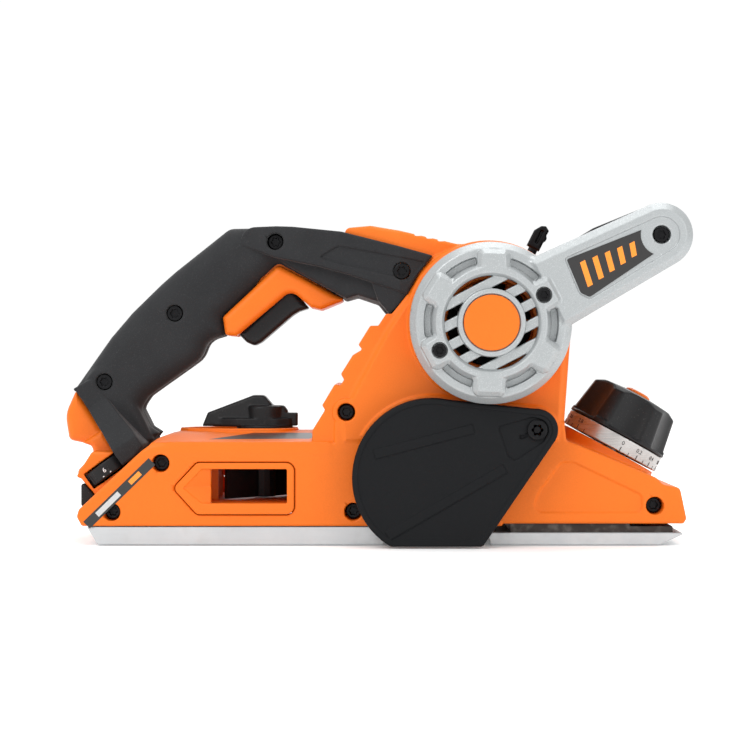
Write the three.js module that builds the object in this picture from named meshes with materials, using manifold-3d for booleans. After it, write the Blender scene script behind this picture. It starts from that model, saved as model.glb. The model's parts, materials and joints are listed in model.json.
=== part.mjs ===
// Electric hand planer: 82 mm rebate planer with a transverse motor, belt drive, turning depth knob,
// two-sided chip port and a sprung side guard over the cutter drum.
//
// Millimetres, +X forward (cutting direction), +Z up, +Y to the machine's left.
// The origin is on the rear sole's plane, on the centre line, just behind the cutter's mouth.

import * as THREE from 'three';
import { mergeVertices } from 'three/addons/utils/BufferGeometryUtils.js';
import Module from 'manifold-3d';

const wasm = await Module();
wasm.setup();

// ---------------------------------------------------------------- driving dimensions

const GAP = 0.3; // space left between touching pieces
const RIGHT = -1;
const LEFT = 1;

const BODY_HALF = 45; // half width of the lower body
const MOTOR_HALF = 46; // half width of the motor housing
const HANDLE_HALF = 19; // half width of the rear handle
const BODY_FLOOR = 9; // underside of the plastic body
const WALL = 4;

const DRUM = { x: 28.6, z: 28, radius: 27, half: 41 };
const CUTTING_RADIUS = 28; // the blades' edges just reach the rear sole's plane
const DRUM_CHAMBER = 31;
const DRUM_SHAFT_RADIUS = 6;

const MOTOR = { x: 55, z: 107.3 };
const MOTOR_BORE = 36;
const MOTOR_SHAFT_RADIUS = 5;
const BEARING_RADIUS = 11;

const COVER = { radius: 38.6, back: -62.3, rim: -66, face: -72, boss: -75 };
const ARM = { angle: THREE.MathUtils.degToRad(27.4), length: 90.5, end: 15.2, thickness: 8 };
const NECK_RADIUS = 39;

// The fan end of the motor: the bearing's seat, the air slots around it and the recess outside them.
const FAN_END = { wall: -41, seat: -49.6, recess: -54, recessRadius: 21 };
const AIR_SLOT = { count: 6, inner: 12.8, outer: 20.4, span: 48 };

const GUARD = { x: 77.5, z: 56.3, lobe: 10, inner: -47.3, outer: -61, plate: 2.5, swing: 20 };

const KNOB = { x: 118.7, z: 45.1, tilt: THREE.MathUtils.degToRad(28.5), ring: 25.9, ringHeight: 7.9 };
const KNOB_HEIGHT = 30.6;

const SELECTOR = { x: -56, radius: 11, bottom: 56, flap: 26 };
const CHAMBER_RADIUS = 27; // round chamber that the chip flap turns in
const DUCT = { floor: 20, roof: 37 };

const DIAL = { x: -133, y: -19, z: 35.5, radius: 13.5, width: 7, slope: THREE.MathUtils.degToRad(35.7) };

const BELT = { inner: 54, outer: 64, thickness: 2.2 };
const DRUM_PULLEY = 20;
const MOTOR_PULLEY = 11;

const CABLE_HEIGHT = 60; // height of the cable inlet in the rear stub

// Where the five long screws that close the body sit, as x, z.
const BODY_SCREWS = [
  [-104.1, 39.6],
  [-127.9, 15.9],
  [-13.9, 64.4],
  [-10.5, 16.1],
  [135.8, 19.0],
];
const SCREW = { recess: 4.3, boss: 6.8, head: 3.8, shank: 2, headDepth: 9 };

// ---------------------------------------------------------------- materials

const finish = (colour, roughness, metalness) =>
  new THREE.MeshStandardMaterial({ color: colour, roughness, metalness });
const ORANGE = () => finish(0xf5802f, 0.45, 0);
const BLACK = () => finish(0x2b2b2d, 0.6, 0);
const RUBBER = () => finish(0x3a3a3c, 0.85, 0);
const SILVER = () => finish(0xc4c8cb, 0.38, 0.7);
const STEEL = () => finish(0x9a9da0, 0.35, 1);
const CAST = () => finish(0xb9bcbe, 0.5, 0.8);
const COPPER = () => finish(0xa8622f, 0.4, 1);

// ---------------------------------------------------------------- shape helpers

// Replaces every corner written as [x, z, radius] by an arc of that radius.
function rounded(corners, step = 30) {
  const points = [];
  corners.forEach(([x, z, radius], i) => {
    const here = new THREE.Vector2(x, z);
    if (!radius) {
      points.push(here);
      return;
    }
    const count = corners.length;
    const before = new THREE.Vector2(...corners[(i + count - 1) % count]).sub(here).normalize();
    const after = new THREE.Vector2(...corners[(i + 1) % count]).sub(here).normalize();
    const half = Math.acos(THREE.MathUtils.clamp(before.dot(after), -1, 1)) / 2;
    const middle = before.clone().add(after).normalize();
    const centre = here.clone().add(middle.multiplyScalar(radius / Math.sin(half)));
    const side = Math.sign(before.cross(after)) * -1;
    const start = before.multiplyScalar(radius / Math.tan(half)).add(here).sub(centre);
    const turn = Math.PI - 2 * half;
    const pieces = Math.max(1, Math.round(THREE.MathUtils.radToDeg(turn) / step));
    for (let k = 0; k <= pieces; k++) {
      const angle = (side * turn * k) / pieces;
      points.push(start.clone().rotateAround(new THREE.Vector2(), angle).add(centre));
    }
  });
  return points;
}

// Points of an arc about (x, z), from one angle to another in degrees.
function arc(x, z, radius, from, to, pieces) {
  return Array.from({ length: pieces + 1 }, (_, k) => {
    const angle = THREE.MathUtils.degToRad(from + ((to - from) * k) / pieces);
    return [x + radius * Math.cos(angle), z + radius * Math.sin(angle)];
  });
}

const circle = (x, z, radius, pieces = 24) => arc(x, z, radius, 0, 360 - 360 / pieces, pieces - 1);

// A closed geometry as a solid that can be joined and cut.
function solid(geometry) {
  const bare = geometry.clone();
  bare.deleteAttribute('normal');
  bare.deleteAttribute('uv');
  const merged = mergeVertices(bare, 1e-4);
  const vertProperties = new Float32Array(merged.attributes.position.array);
  const triVerts = new Uint32Array(merged.index.array);
  const body = new wasm.Manifold(new wasm.Mesh({ numProp: 3, vertProperties, triVerts }));
  if (body.volume() > 0) return body;
  // A profile turned the other way round comes out inside out.
  return new wasm.Manifold(new wasm.Mesh({ numProp: 3, vertProperties, triVerts: triVerts.reverse() }));
}

// An outline in the X-Z plane, extruded along Y between two planes in either order.
function slab(corners, from, to, holes = []) {
  const shape = new THREE.Shape(rounded(corners));
  holes.forEach((hole) => shape.holes.push(new THREE.Path(rounded(hole))));
  const geometry = new THREE.ExtrudeGeometry(shape, { depth: Math.abs(to - from), bevelEnabled: false });
  geometry.rotateX(Math.PI / 2);
  geometry.translate(0, Math.max(from, to), 0);
  return solid(geometry);
}

// An outline in the X-Y plane, extruded along Z.
function plate(corners, bottom, top) {
  const shape = new THREE.Shape(rounded(corners));
  const geometry = new THREE.ExtrudeGeometry(shape, { depth: top - bottom, bevelEnabled: false });
  geometry.translate(0, 0, bottom);
  return solid(geometry);
}

const rod = (at, radius, from, to, pieces = 24) => slab(circle(at.x, at.z, radius, pieces), from, to);

const tube = (at, outer, inner, from, to, pieces = 24) =>
  slab(circle(at.x, at.z, outer, pieces), from, to, [circle(at.x, at.z, inner, pieces)]);

// A profile of [radius, height] pairs turned about +Z, then moved by a matrix.
function turned(profile, matrix, pieces = 24) {
  const points = profile.map(([radius, height]) => new THREE.Vector2(radius, height));
  const geometry = new THREE.LatheGeometry(points, pieces);
  geometry.rotateX(Math.PI / 2);
  geometry.applyMatrix4(matrix);
  return solid(geometry);
}

// A profile of [radius, y] pairs turned about an axis along Y through a point.
function turnedAboutY(profile, at, pieces = 24) {
  const geometry = new THREE.LatheGeometry(
    profile.map(([radius, y]) => new THREE.Vector2(radius, y)),
    pieces,
  );
  geometry.translate(at.x, 0, at.z);
  return solid(geometry);
}

function box(x0, x1, y0, y1, z0, z1, matrix = new THREE.Matrix4()) {
  const geometry = new THREE.BoxGeometry(x1 - x0, Math.abs(y1 - y0), z1 - z0);
  geometry.translate((x0 + x1) / 2, (y0 + y1) / 2, (z0 + z1) / 2);
  geometry.applyMatrix4(matrix);
  return solid(geometry);
}

function rodAlongX(radius, from, to, height) {
  const geometry = new THREE.CylinderGeometry(radius, radius, to - from, 16);
  geometry.rotateZ(Math.PI / 2);
  geometry.translate((from + to) / 2, 0, height);
  return solid(geometry);
}

// A round wire wound about the local +Z axis between two heights.
function coil(radius, wire, bottom, top, turns, matrix) {
  const around = 8;
  const steps = turns * around;
  const path = new THREE.CatmullRomCurve3(Array.from({ length: steps + 1 }, (_, k) => {
    const angle = (2 * Math.PI * k) / around;
    const height = bottom + ((top - bottom) * k) / steps;
    return new THREE.Vector3(radius * Math.cos(angle), radius * Math.sin(angle), height);
  }));
  const section = new THREE.Shape(rounded(circle(0, 0, wire, 5)));
  const geometry = new THREE.ExtrudeGeometry(section, { steps, extrudePath: path });
  geometry.applyMatrix4(matrix);
  return solid(geometry);
}

const join = (...parts) => parts.reduce((all, part) => all.add(part));
const cut = (from, ...tools) => tools.reduce((left, tool) => left.subtract(tool), from);

// ---------------------------------------------------------------- the assembly

const planer = new THREE.Group();
planer.name = 'electric_hand_planer';

function add(name, shape, material) {
  const mesh = shape.getMesh();
  const geometry = new THREE.BufferGeometry();
  geometry.setAttribute('position', new THREE.BufferAttribute(new Float32Array(mesh.vertProperties), 3));
  geometry.setIndex(new THREE.BufferAttribute(new Uint32Array(mesh.triVerts), 1));
  geometry.computeVertexNormals();
  const piece = new THREE.Mesh(geometry, material);
  piece.name = name;
  planer.add(piece);
}

// ---------------------------------------------------------------- outlines in the side view

// Lower body with the front deck; its rear slope carries the handle.
const LOWER = [
  [-142.5, BODY_FLOOR],
  [-145, 13.5],
  [-144, 16.5],
  [-112.5, 46.5, 9],
  [-100, 49.5],
  [-20, 50],
  [-20, 60],
  [92, 60],
  [93, 50.5],
  [98.6, 48.6],
  [136.6, 32.6],
  [139.9, 29.3, 3],
  [148.2, 27.7, 3],
  [151.4, 13, 3],
  [149.8, 10.2],
  [62, 10.2],
  [62, BODY_FLOOR],
];

// Crown of the deck between the handle and the motor.
const CROWN = [
  [-112, 46],
  [-107, 52.5, 8],
  [-100, 53.8],
  [-25, 54],
  [-25, 46],
];

// Motor housing: the stepped rear wall climbs from the deck, and the round top follows the cover.
const MOTOR_WALL = [
  [-30.5, 50],
  [-30.5, 55.5],
  [-24.3, 65.4],
  [-25.7, 67.7],
  [-19.6, 77.9],
  [-16.9, 77.4],
  [-15, 80.1],
  [-16.6, 82.8],
  [-10.8, 92.1],
  [-6.2, 94.8],
  [-8.1, 97.1],
  [-2.3, 106.4],
  [1.6, 106.4],
  [5.4, 112.2],
  [8.2, 112.2],
  [16.3, 121.6],
  [21.7, 131.8],
  [28.8, 140.2],
  [34.5, 143.6],
  ...arc(MOTOR.x, MOTOR.z, 40.5, 112, 20, 8),
  [97, 108.4],
  [92.6, 50],
];

// Orange top of the housing above the handle's front end.
const SHOULDER = [
  [-15.5, 151.8],
  [-14, 154.9, 2],
  [-5, 155],
  [27.4, 147],
  [48, 146],
  [48, 115],
  [8, 112.6],
  [2.8, 118.6],
  [-8.6, 122.4],
  [-13.6, 120.9],
];

// Everything that the black handle moulding and its side plates cover.
const GRIP = [
  [-150.6, 75.3],
  [-128, 107.5, 90],
  [-104, 131, 90],
  [-73, 155.7, 5],
  [-45, 156.3],
  [-16.5, 152.9],
  [28.2, 140.4],
  [21.2, 131.8],
  [15.8, 121.6],
  [7.4, 111.8],
  [2.4, 118.1],
  [-8.6, 121.7],
  [-14.2, 120],
  [-48.4, 137.8],
  [-76.8, 111.4],
  [-75.3, 101.9],
  [-83.5, 99.5, 6],
  [-86.9, 90.4, 3],
  [-113.5, 71.5, 4],
  [-118.6, 64, 8],
  [-115.2, 57.5, 5],
  [-108.2, 53.2],
  [-112.2, 48.2],
  [-121, 38.9],
  [-124, 38],
];

// Where the handle's foot spreads out over the rear block, beside the speed dial.
const GRIP_FOOT = [
  [-134.6, 58.6],
  [-121.2, 38.2],
  [-112.4, 48.2],
  [-115.5, 51.5],
  [-126.5, 62.5],
];
const FOOT_HALF = 35;

// Orange trigger guard, an upside-down V under the handle.
const CHEVRON = [
  [-48.4, 137.3],
  [-76.3, 111.2],
  [-74.9, 102],
  [-69.3, 101.5],
  [-42, 124.7],
  [-32.1, 116],
  [-26.9, 114.8],
  [-14.6, 119.9],
];

// Web inside the handle that carries the trigger guard on the motor housing.
const WEB = [
  [-60, 127],
  [-49, 143],
  [12, 139],
  [12, 122],
  [-20, 124],
];

// Rear block below the handle: cable stub on top, speed dial in its flank.
const REAR_BLOCK = [
  [-149.9, 74.9],
  [-155.4, 62.5, 12],
  [-153.4, 49.6, 3],
  [-142, 47.3, 2],
  [-140.5, 43.2, 2],
  [-149.2, 33.6, 3],
  [-148, 31.4],
  [-145, 31.2],
  [-137.6, 22.6],
  [-125, 30],
  [-118, 41],
  [-124.2, 37.6],
];

// Wider flank of the rear block that the speed dial's rim looks out of.
const DIAL_FLANK = [
  [-145, 31.2],
  [-148, 32.5],
  [-139, 45.5],
  [-129, 44.5],
  [-124.2, 37.6],
  [-113, 46],
  [-112, 20],
  [-137.6, 22.6],
];

const PORT = [
  [-98, 27.5, 3],
  [-86.4, 39.6, 3],
  [-39.2, 39.6, 4],
  [-39.2, 15, 4],
  [-86.4, 15, 3],
];

const PORT_OPENING = [
  [-93, 27.5, 1],
  [-84.1, 36.8, 1],
  [-42.7, 36.8],
  [-42.7, 20.2],
  [-84.1, 20.2, 1],
];

// Flat-bottomed teardrop of the side guard: a large arc round the drum and a small one at the pivot.
const GUARD_OUTLINE = [
  [7.5, 0.5],
  [51.5, 0.5],
  ...arc(GUARD.x, GUARD.z, GUARD.lobe, -35, 95, 5),
  [35.8, 70.6],
  ...arc(27.3, 33.2, 38.3, 85, 235, 10),
];

// ---------------------------------------------------------------- placing helpers

// The knob's frame: its local +Z is the tilted knob axis and its local origin the ring's lower face.
const knobFrame = () =>
  new THREE.Matrix4().makeRotationY(KNOB.tilt).setPosition(KNOB.x, 0, KNOB.z);

// A point given along and across the arm, seen from the motor's centre.
function onArm(along, across, radius) {
  const x = MOTOR.x + along * Math.cos(ARM.angle) - across * Math.sin(ARM.angle);
  const z = MOTOR.z + along * Math.sin(ARM.angle) + across * Math.cos(ARM.angle);
  return radius ? [x, z, radius] : [x, z];
}

// The handle widens in plan towards the motor: half widths at the places where it bends.
function planWedge(shrink) {
  const right = [
    [-165, -HANDLE_HALF + shrink],
    [-62, -HANDLE_HALF + shrink],
    [-16, -33 + shrink],
    [12, -MOTOR_HALF + 1 + shrink],
    [50, -MOTOR_HALF + 1 + shrink],
  ];
  const left = right.map(([x, y]) => [x, -y]).reverse();
  return plate([...right, ...left], -5, 200);
}

function turnedAboutGuardPivot(corners, degrees) {
  const turn = -THREE.MathUtils.degToRad(degrees);
  const pivot = new THREE.Vector2(GUARD.x, GUARD.z);
  return corners.map(([x, z, radius]) => {
    const point = new THREE.Vector2(x, z).rotateAround(pivot, turn);
    return radius ? [point.x, point.y, radius] : [point.x, point.y];
  });
}

// Grows or shrinks an outline by moving each side along its own normal.
function offset(corners, distance) {
  const points = rounded(corners);
  const area = THREE.ShapeUtils.area(points);
  const outward = area > 0 ? distance : -distance;
  return points.map((here, i) => {
    const before = points[(i + points.length - 1) % points.length];
    const after = points[(i + 1) % points.length];
    const first = here.clone().sub(before).normalize();
    const second = after.clone().sub(here).normalize();
    const normal = new THREE.Vector2(first.y + second.y, -first.x - second.x).normalize();
    const spread = outward / Math.max(0.5, normal.dot(new THREE.Vector2(first.y, -first.x)));
    return [here.x + normal.x * spread, here.y + normal.y * spread];
  });
}

// ---------------------------------------------------------------- housing halves

// Raised rim on the deck round the chip selector, drawn out to a point behind the lever.
function selectorRim(near, side) {
  const edge = [[-98.5, -4, 3], [-66, -17, 12], [-39, -17, 14], [-39, 17, 14], [-66, 17, 12],
    [-98.5, 4, 3]];
  return plate(edge, 48, SELECTOR.bottom - 0.6).intersect(box(-110, -30, near, side * 20, 40, 60));
}

// The orange body of one side as a full block, grown all round by a clearance.
function orangeBlock(side, grow) {
  const near = side * (GAP / 2 - grow);
  const layer = (corners, half) => slab(grow ? offset(corners, grow) : corners, near, side * (half + grow));
  const shoulder = layer(SHOULDER, MOTOR_HALF).intersect(planWedge(3.3 - grow));
  // Round collar that the depth ring sits on.
  const collar = turned([[0, -14], [22.8, -14], [22.8, -GAP], [0, -GAP]], knobFrame())
    .intersect(box(60, 160, near, side * 30, BODY_FLOOR + 4, 80));
  return join(
    collar,
    layer(LOWER, BODY_HALF),
    layer(CROWN, 32),
    selectorRim(near, side),
    layer(MOTOR_WALL, MOTOR_HALF),
    shoulder,
    layer(CHEVRON, 16.5),
    layer(WEB, 11),
    layer(REAR_BLOCK, 15),
    layer(DIAL_FLANK, 30),
  );
}

function screwBoss(side, [x, z], half) {
  return rod({ x, z }, SCREW.boss, side * (GAP / 2), side * half, 12);
}

// A stepped hole from the right side: wide recess, shoulder, then the shank's clearance.
function screwHole(side, [x, z], half) {
  const at = { x, z };
  if (side === LEFT) return rod(at, SCREW.shank + GAP, 0, LEFT * (half - WALL), 8);
  const shank = rod(at, SCREW.shank + GAP, 0, side * half, 8);
  return join(shank, rod(at, SCREW.recess, side * (half - SCREW.headDepth), side * (half + 1), 16));
}

function bodyHollows(side) {
  const y = (half) => side * half;
  const lower = slab(
    [
      [-137, 8],
      [-139, 15],
      [-109.5, 43.5],
      [-100, 45.5],
      [-33, 46],
      [-33, 42],
      [-6, 42],
      [-6, 8],
    ],
    0,
    y(BODY_HALF - WALL),
  );
  const chamber = rod(DRUM, DRUM_CHAMBER, 0, y(42.5), 28);
  const mouth = box(DRUM.x - DRUM_CHAMBER, 60, 0, y(42.5), 8, DRUM.z);
  const front = slab(
    [
      [59, 8],
      [64, 24],
      [100, 33],
      [134, 23],
      [147.5, 22],
      [147.5, 8],
    ],
    0,
    y(43),
  );
  const motor = rod(MOTOR, MOTOR_BORE, 0, y(side === RIGHT ? 42 : 34), 32);
  const rear = slab(
    [
      [-146.8, 52.5],
      [-139, 50],
      [-134, 41],
      [-128, 41],
      [-139, 66],
      [-146.8, 71],
    ],
    0,
    y(11),
  );
  const trigger = slab(
    [
      [-72.6, 96],
      [-73.3, 110],
      [-50.5, 131.5],
      [-40, 131.5],
      [-30, 113],
      [-45, 96],
    ],
    0,
    y(9.5),
  );
  return join(lower, chamber, mouth, front, motor, rear, trigger);
}

// The speed dial with its two axle stubs, grown by a clearance for the hollow that it turns in.
function dialShape(grow) {
  const half = DIAL.width / 2 + grow;
  const frame = new THREE.Matrix4().makeRotationY(-DIAL.slope).setPosition(DIAL.x, DIAL.y, DIAL.z);
  const stub = 2.6 + grow / 2;
  const end = 6.5 + grow;
  const rim = DIAL.radius + grow;
  return turned([[0, -end], [stub, -end], [stub, -half], [rim, -half], [rim, half], [stub, half],
    [stub, end], [0, end]], frame, 24);
}

// The pocket that the guard swings through, cut behind the vent cover.
function guardSweep() {
  const steps = [0, 7, 14, GUARD.swing + 1];
  const grown = offset(GUARD_OUTLINE, 1);
  return join(...steps.map((degrees) => {
    const swung = turnedAboutGuardPivot(grown, degrees);
    return slab(swung, -MOTOR_HALF - 0.6, COVER.back - 1);
  }));
}

// Arc-shaped openings around the bearing, through which the fan blows out behind the vent cover.
function airSlots() {
  const slots = Array.from({ length: AIR_SLOT.count }, (_, k) => {
    const middle = (360 / AIR_SLOT.count) * (k + 0.5);
    const start = middle - AIR_SLOT.span / 2;
    const end = middle + AIR_SLOT.span / 2;
    const outer = arc(MOTOR.x, MOTOR.z, AIR_SLOT.outer, start, end, 4);
    const inner = arc(MOTOR.x, MOTOR.z, AIR_SLOT.inner, end, start, 4);
    return slab([...outer, ...inner], FAN_END.recess - 1, FAN_END.wall);
  });
  return join(...slots);
}

// Neck on the right side that carries the vent cover and the fan-side motor bearing.
function addNeck(half) {
  const outline = rod(MOTOR, NECK_RADIUS, RIGHT * (MOTOR_HALF - 2), COVER.back + GAP, 36);
  const neck = outline.subtract(guardSweep());
  return cut(
    half.add(neck),
    rod(MOTOR, FAN_END.recessRadius, FAN_END.recess, COVER.back - 1),
    rod(MOTOR, BEARING_RADIUS + GAP, FAN_END.wall, FAN_END.seat),
    rod(MOTOR, MOTOR_SHAFT_RADIUS + 1.5, FAN_END.wall, FAN_END.recess - 1, 16),
    airSlots(),
    ...COVER_SCREWS.map((at) => rod(at, 2.3, -50, COVER.back - 1, 8)),
  );
}

// Flat panel pressed into the front flank beside the knob.
const frontPanel = (side) =>
  slab(
    [
      [80, 26, 3],
      [90.5, 39.6, 3],
      [96.3, 39.6, 3],
      [129.4, 24.2, 3],
      [129.4, 15.8, 3],
      [76, 15.8, 3],
    ],
    side * (BODY_HALF - 0.8),
    side * (BODY_HALF + 1),
  );

const WRENCH = { x: 82, z: 147, y: 24, tilt: Math.atan2(0.45, 0.893), depth: 22 };
const wrenchFrame = () =>
  new THREE.Matrix4().makeRotationY(WRENCH.tilt).setPosition(WRENCH.x, WRENCH.y, WRENCH.z);

function housing(side) {
  let half = cut(orangeBlock(side, 0), bodyHollows(side));
  const bosses = BODY_SCREWS.map((at) => screwBoss(side, at, BODY_HALF));
  half = join(half, ...bosses);
  // The hub that holds the drum's bearing; on the right it reaches into the drum's hollow end.
  const hub = side === RIGHT ? [-36.6, -44] : [42, 52];
  half = half.add(rod(DRUM, 15, hub[0], hub[1]));
  half = cut(
    half,
    ...BODY_SCREWS.map((at) => screwHole(side, at, at[1] > 60 ? MOTOR_HALF : BODY_HALF)),
    slab(offset(PORT, GAP), side * (BODY_HALF - WALL - 1), side * (BODY_HALF + 1)),
    frontPanel(side),
    dialShape(0.7),
    plate(circle(SELECTOR.x, 0, 6.6, 16), 40, 60),
    turned([[0, -30], [4.6, -30], [4.6, 2], [0, 2]], knobFrame(), 16),
    turned([[0, 0], [27, 0], [27, 30], [0, 30]], knobFrame(), 16),
    rodAlongX(6, -165, -146, CABLE_HEIGHT),
    box(-8, 2, -15.3, 15.3, 23.1, 41.3),
  );
  if (side === RIGHT) {
    half = cut(half, rod(DRUM, BEARING_RADIUS + GAP, -35, -43.8));
    half = addNeck(half);
    half = half.add(rod(GUARD, 9.5, -44, -46.9, 16));
    return cut(half, rod(GUARD, 2.2, -30, -48, 8));
  }
  return cut(
    half,
    rod(DRUM, BEARING_RADIUS + GAP, 43, 53),
    rod(DRUM, DRUM_SHAFT_RADIUS + 1.5, 40, 44, 16),
    rod(MOTOR, BEARING_RADIUS + GAP, 33, 41.6),
    rod(MOTOR, MOTOR_SHAFT_RADIUS + 1.5, 40, 50, 16),
    turned([[0, -24], [3.2, -24], [3.2, 6], [0, 6]], wrenchFrame(), 12),
  );
}

// ---------------------------------------------------------------- handle mouldings

const HANDLE_SCREWS = [
  [-135.1, 78.8],
  [-100, 113],
  [-49.6, 148.6],
  [13.1, 132.9],
];

const HANDLE_HOLLOW = [
  [-141, 73],
  [-125, 100],
  [-100, 125],
  [-72, 149],
  [-58, 151],
  [-56, 136],
  [-80, 112],
  [-80, 104],
  [-92, 94],
  [-120, 73],
  [-121, 58],
  [-113, 50],
  [-121, 44],
];

const LOCK = { x: -86, z: 121, radius: 5.5 };

function grip(side) {
  const block = slab(GRIP, side * (GAP / 2), side * (MOTOR_HALF + 2)).intersect(planWedge(0));
  const bosses = HANDLE_SCREWS.slice(0, 3).map((at) => screwBoss(side, at, HANDLE_HALF - 1));
  const foot = slab(GRIP_FOOT, side * (HANDLE_HALF - 4), side * FOOT_HALF);
  const shell = join(cut(block, slab(HANDLE_HOLLOW, 0, side * 14.5)), foot, ...bosses);
  const holes = HANDLE_SCREWS.map((at) => screwHole(side, at, at[0] > 0 ? BODY_HALF : HANDLE_HALF));
  const half = cut(shell, orangeBlock(side, GAP), ...holes);
  return half.subtract(side === LEFT ? rod(LOCK, LOCK.radius + 0.4, 10, 25, 16) : dialShape(0.7));
}

// ---------------------------------------------------------------- trigger, lock and electrics

const TRIGGER = [
  [-69.1, 103],
  [-64.8, 98.6, 2],
  [-60.8, 96.8, 2],
  [-57.2, 98.6, 3],
  [-41.5, 112.2, 3],
  [-38.3, 114.2, 2],
  [-33.2, 115.8],
  [-41.5, 126],
  [-45.6, 125.2],
];

const SWITCH_BODY = [
  [-77, 119],
  [-58.5, 138],
  [-58.5, 148],
  [-71, 146],
  [-77, 141],
];

function addElectrics() {
  add('trigger', slab(TRIGGER, -8, 8), BLACK());
  const lean = -THREE.MathUtils.degToRad(43.6);
  const springFrame = new THREE.Matrix4().makeRotationY(lean).setPosition(-58, 0, 114);
  add('trigger_spring', coil(2.6, 0.5, 0.9, 5.8, 4, springFrame), STEEL());
  add('switch_body', slab(SWITCH_BODY, -10, 10), BLACK());
  const button = rod(LOCK, LOCK.radius, 11, 21.5, 16).add(rod(LOCK, 7, 10.5, 13.5, 16));
  add('lock_button', button, BLACK());
  add('speed_dial', dialShape(0), BLACK());
  add('control_module', box(-118, -95, -28, 28, 11, 30), BLACK());
  const sleeve = rodAlongX(5.7, -154, -144, CABLE_HEIGHT).add(rodAlongX(6.6, -146.4, -144, CABLE_HEIGHT));
  add('cable_gland', sleeve.subtract(rodAlongX(3.6, -156, -142, CABLE_HEIGHT)), RUBBER());
  const bumper = slab([[-144.9, 30.4], [-138.3, 22.6], [-144.9, 16.2]], -30, 30);
  add('rear_bumper', bumper.subtract(dialShape(0.7)), RUBBER());
}

// ---------------------------------------------------------------- shoes and depth setting

function addShoes() {
  const rear = slab([[-134.7, 0], [-140, 8.6], [4, 8.6], [6, 6], [4, 0]], -44, 44);
  add('rear_shoe', rear, CAST());

  const sole = slab([[56.5, 0], [54.5, 5.7], [149.5, 5.7], [149.5, 5], [138.4, 0]], -44, 44);
  const corners = [[-4, -1], [4, -1], [0, 4]];
  const groove = new THREE.Shape(corners.map(([x, y]) => new THREE.Vector2(x, y)));
  const vee = new THREE.ExtrudeGeometry(groove, { depth: 120, bevelEnabled: false });
  vee.rotateX(Math.PI / 2).rotateZ(Math.PI / 2).translate(50, 0, 0);
  const low = box(66, 145, -41.5, 41.5, 5.5, 8.8);
  const tall = box(66, 124, -41.5, 41.5, 8.6, 18);
  const well = box(70, 120, -37.5, 37.5, 8.8, 19);
  const boss = turned([[0, -44], [9, -44], [9, -27], [0, -27]], knobFrame(), 16);
  const shoe = join(sole, low, tall.subtract(well), boss);
  const bore = turned([[0, -37], [4.3, -37], [4.3, -20], [0, -20]], knobFrame(), 12);
  add('front_shoe', cut(shoe, solid(vee), bore), CAST());
}

function addDepthControl() {
  const frame = knobFrame();
  const { ring: radius, ringHeight: top } = KNOB;
  const ring = [[20, 0.4], [radius, 0.4], [radius, top], [20, top], [20, 0.4]];
  add('depth_scale_ring', turned(ring, frame, 32), STEEL());

  const profile = [[0, 26], [4.6, 26], [4.6, 1], [19.6, 1], [19.6, 8.2], [25.2, 8.2], [22.2, 27.5],
    [18, 29.6], [9, KNOB_HEIGHT], [6.8, KNOB_HEIGHT], [6.8, 29], [0, 29]];
  const flutes = Array.from({ length: 8 }, (_, k) => {
    const around = new THREE.Matrix4().makeRotationZ((k * Math.PI) / 4);
    const place = frame.clone().multiply(around).multiply(new THREE.Matrix4().makeTranslation(29.3, 0, 0));
    return turned([[0, 11], [6, 11], [6, 35], [0, 35]], place, 8);
  });
  add('depth_knob', cut(turned(profile, frame, 32), ...flutes), BLACK());
  const cap = [[0, 29.3], [6.4, 29.3], [6.4, 31.6], [5.6, 32.2], [0, 32.2]];
  add('knob_cap', turned(cap, frame, 16), ORANGE());
  add('depth_screw', turned([[0, -36], [4, -36], [4, 20.5], [0, 20.5]], frame, 12), STEEL());
  add('depth_spring', coil(6, 0.7, -25.8, -18.6, 3, frame), STEEL());
}

// ---------------------------------------------------------------- cutter drum and its drive

// A box given in a frame whose +Z points out along one blade.
function onDrum(index, x0, x1, y0, y1, z0, z1) {
  const turn = THREE.MathUtils.degToRad(50 + 180 * index);
  const inDrum = new THREE.Matrix4().makeRotationY(turn).setPosition(DRUM.x, 0, DRUM.z);
  return box(x0, x1, y0, y1, z0, z1, inDrum);
}

function addDrum() {
  const pockets = [0, 1].map((index) => onDrum(index, -5.5, 5.5, -50, 50, 16, 30));
  const hollowEnd = rod(DRUM, 16.5, -45, -35.5);
  const drum = tube(DRUM, DRUM.radius, DRUM_SHAFT_RADIUS + GAP, -DRUM.half, DRUM.half, 36);
  add('cutter_drum', cut(drum, hollowEnd, ...pockets), CAST());
  for (const index of [0, 1]) {
    const edge = Math.sqrt(CUTTING_RADIUS ** 2 - 5.2 ** 2);
    add(`blade_${index + 1}`, onDrum(index, -5.2, -4, -41, 41, 19, edge), STEEL());
    add(`blade_clamp_${index + 1}`, onDrum(index, -3.7, 5.2, -40, 40, 16.3, 25.8), STEEL());
  }
  add('drum_shaft', rod(DRUM, DRUM_SHAFT_RADIUS, -43.4, BELT.outer + 1, 20), STEEL());
  add('drum_bearing_right', tube(DRUM, BEARING_RADIUS, DRUM_SHAFT_RADIUS + GAP, -43.5, -37, 20), STEEL());
  add('drum_bearing_left', tube(DRUM, BEARING_RADIUS, DRUM_SHAFT_RADIUS + GAP, 44.3, 51.5, 20), STEEL());
}

// Outline of two circles joined by their outer tangents.
function aroundPulleys(drumRadius, motorRadius) {
  const dx = MOTOR.x - DRUM.x;
  const dz = MOTOR.z - DRUM.z;
  const along = THREE.MathUtils.radToDeg(Math.atan2(dz, dx));
  const lean = THREE.MathUtils.radToDeg(Math.acos((drumRadius - motorRadius) / Math.hypot(dx, dz)));
  return [
    ...arc(DRUM.x, DRUM.z, drumRadius, along + lean, along + 360 - lean, 14),
    ...arc(MOTOR.x, MOTOR.z, motorRadius, along - lean, along + lean, 8),
  ];
}

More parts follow.
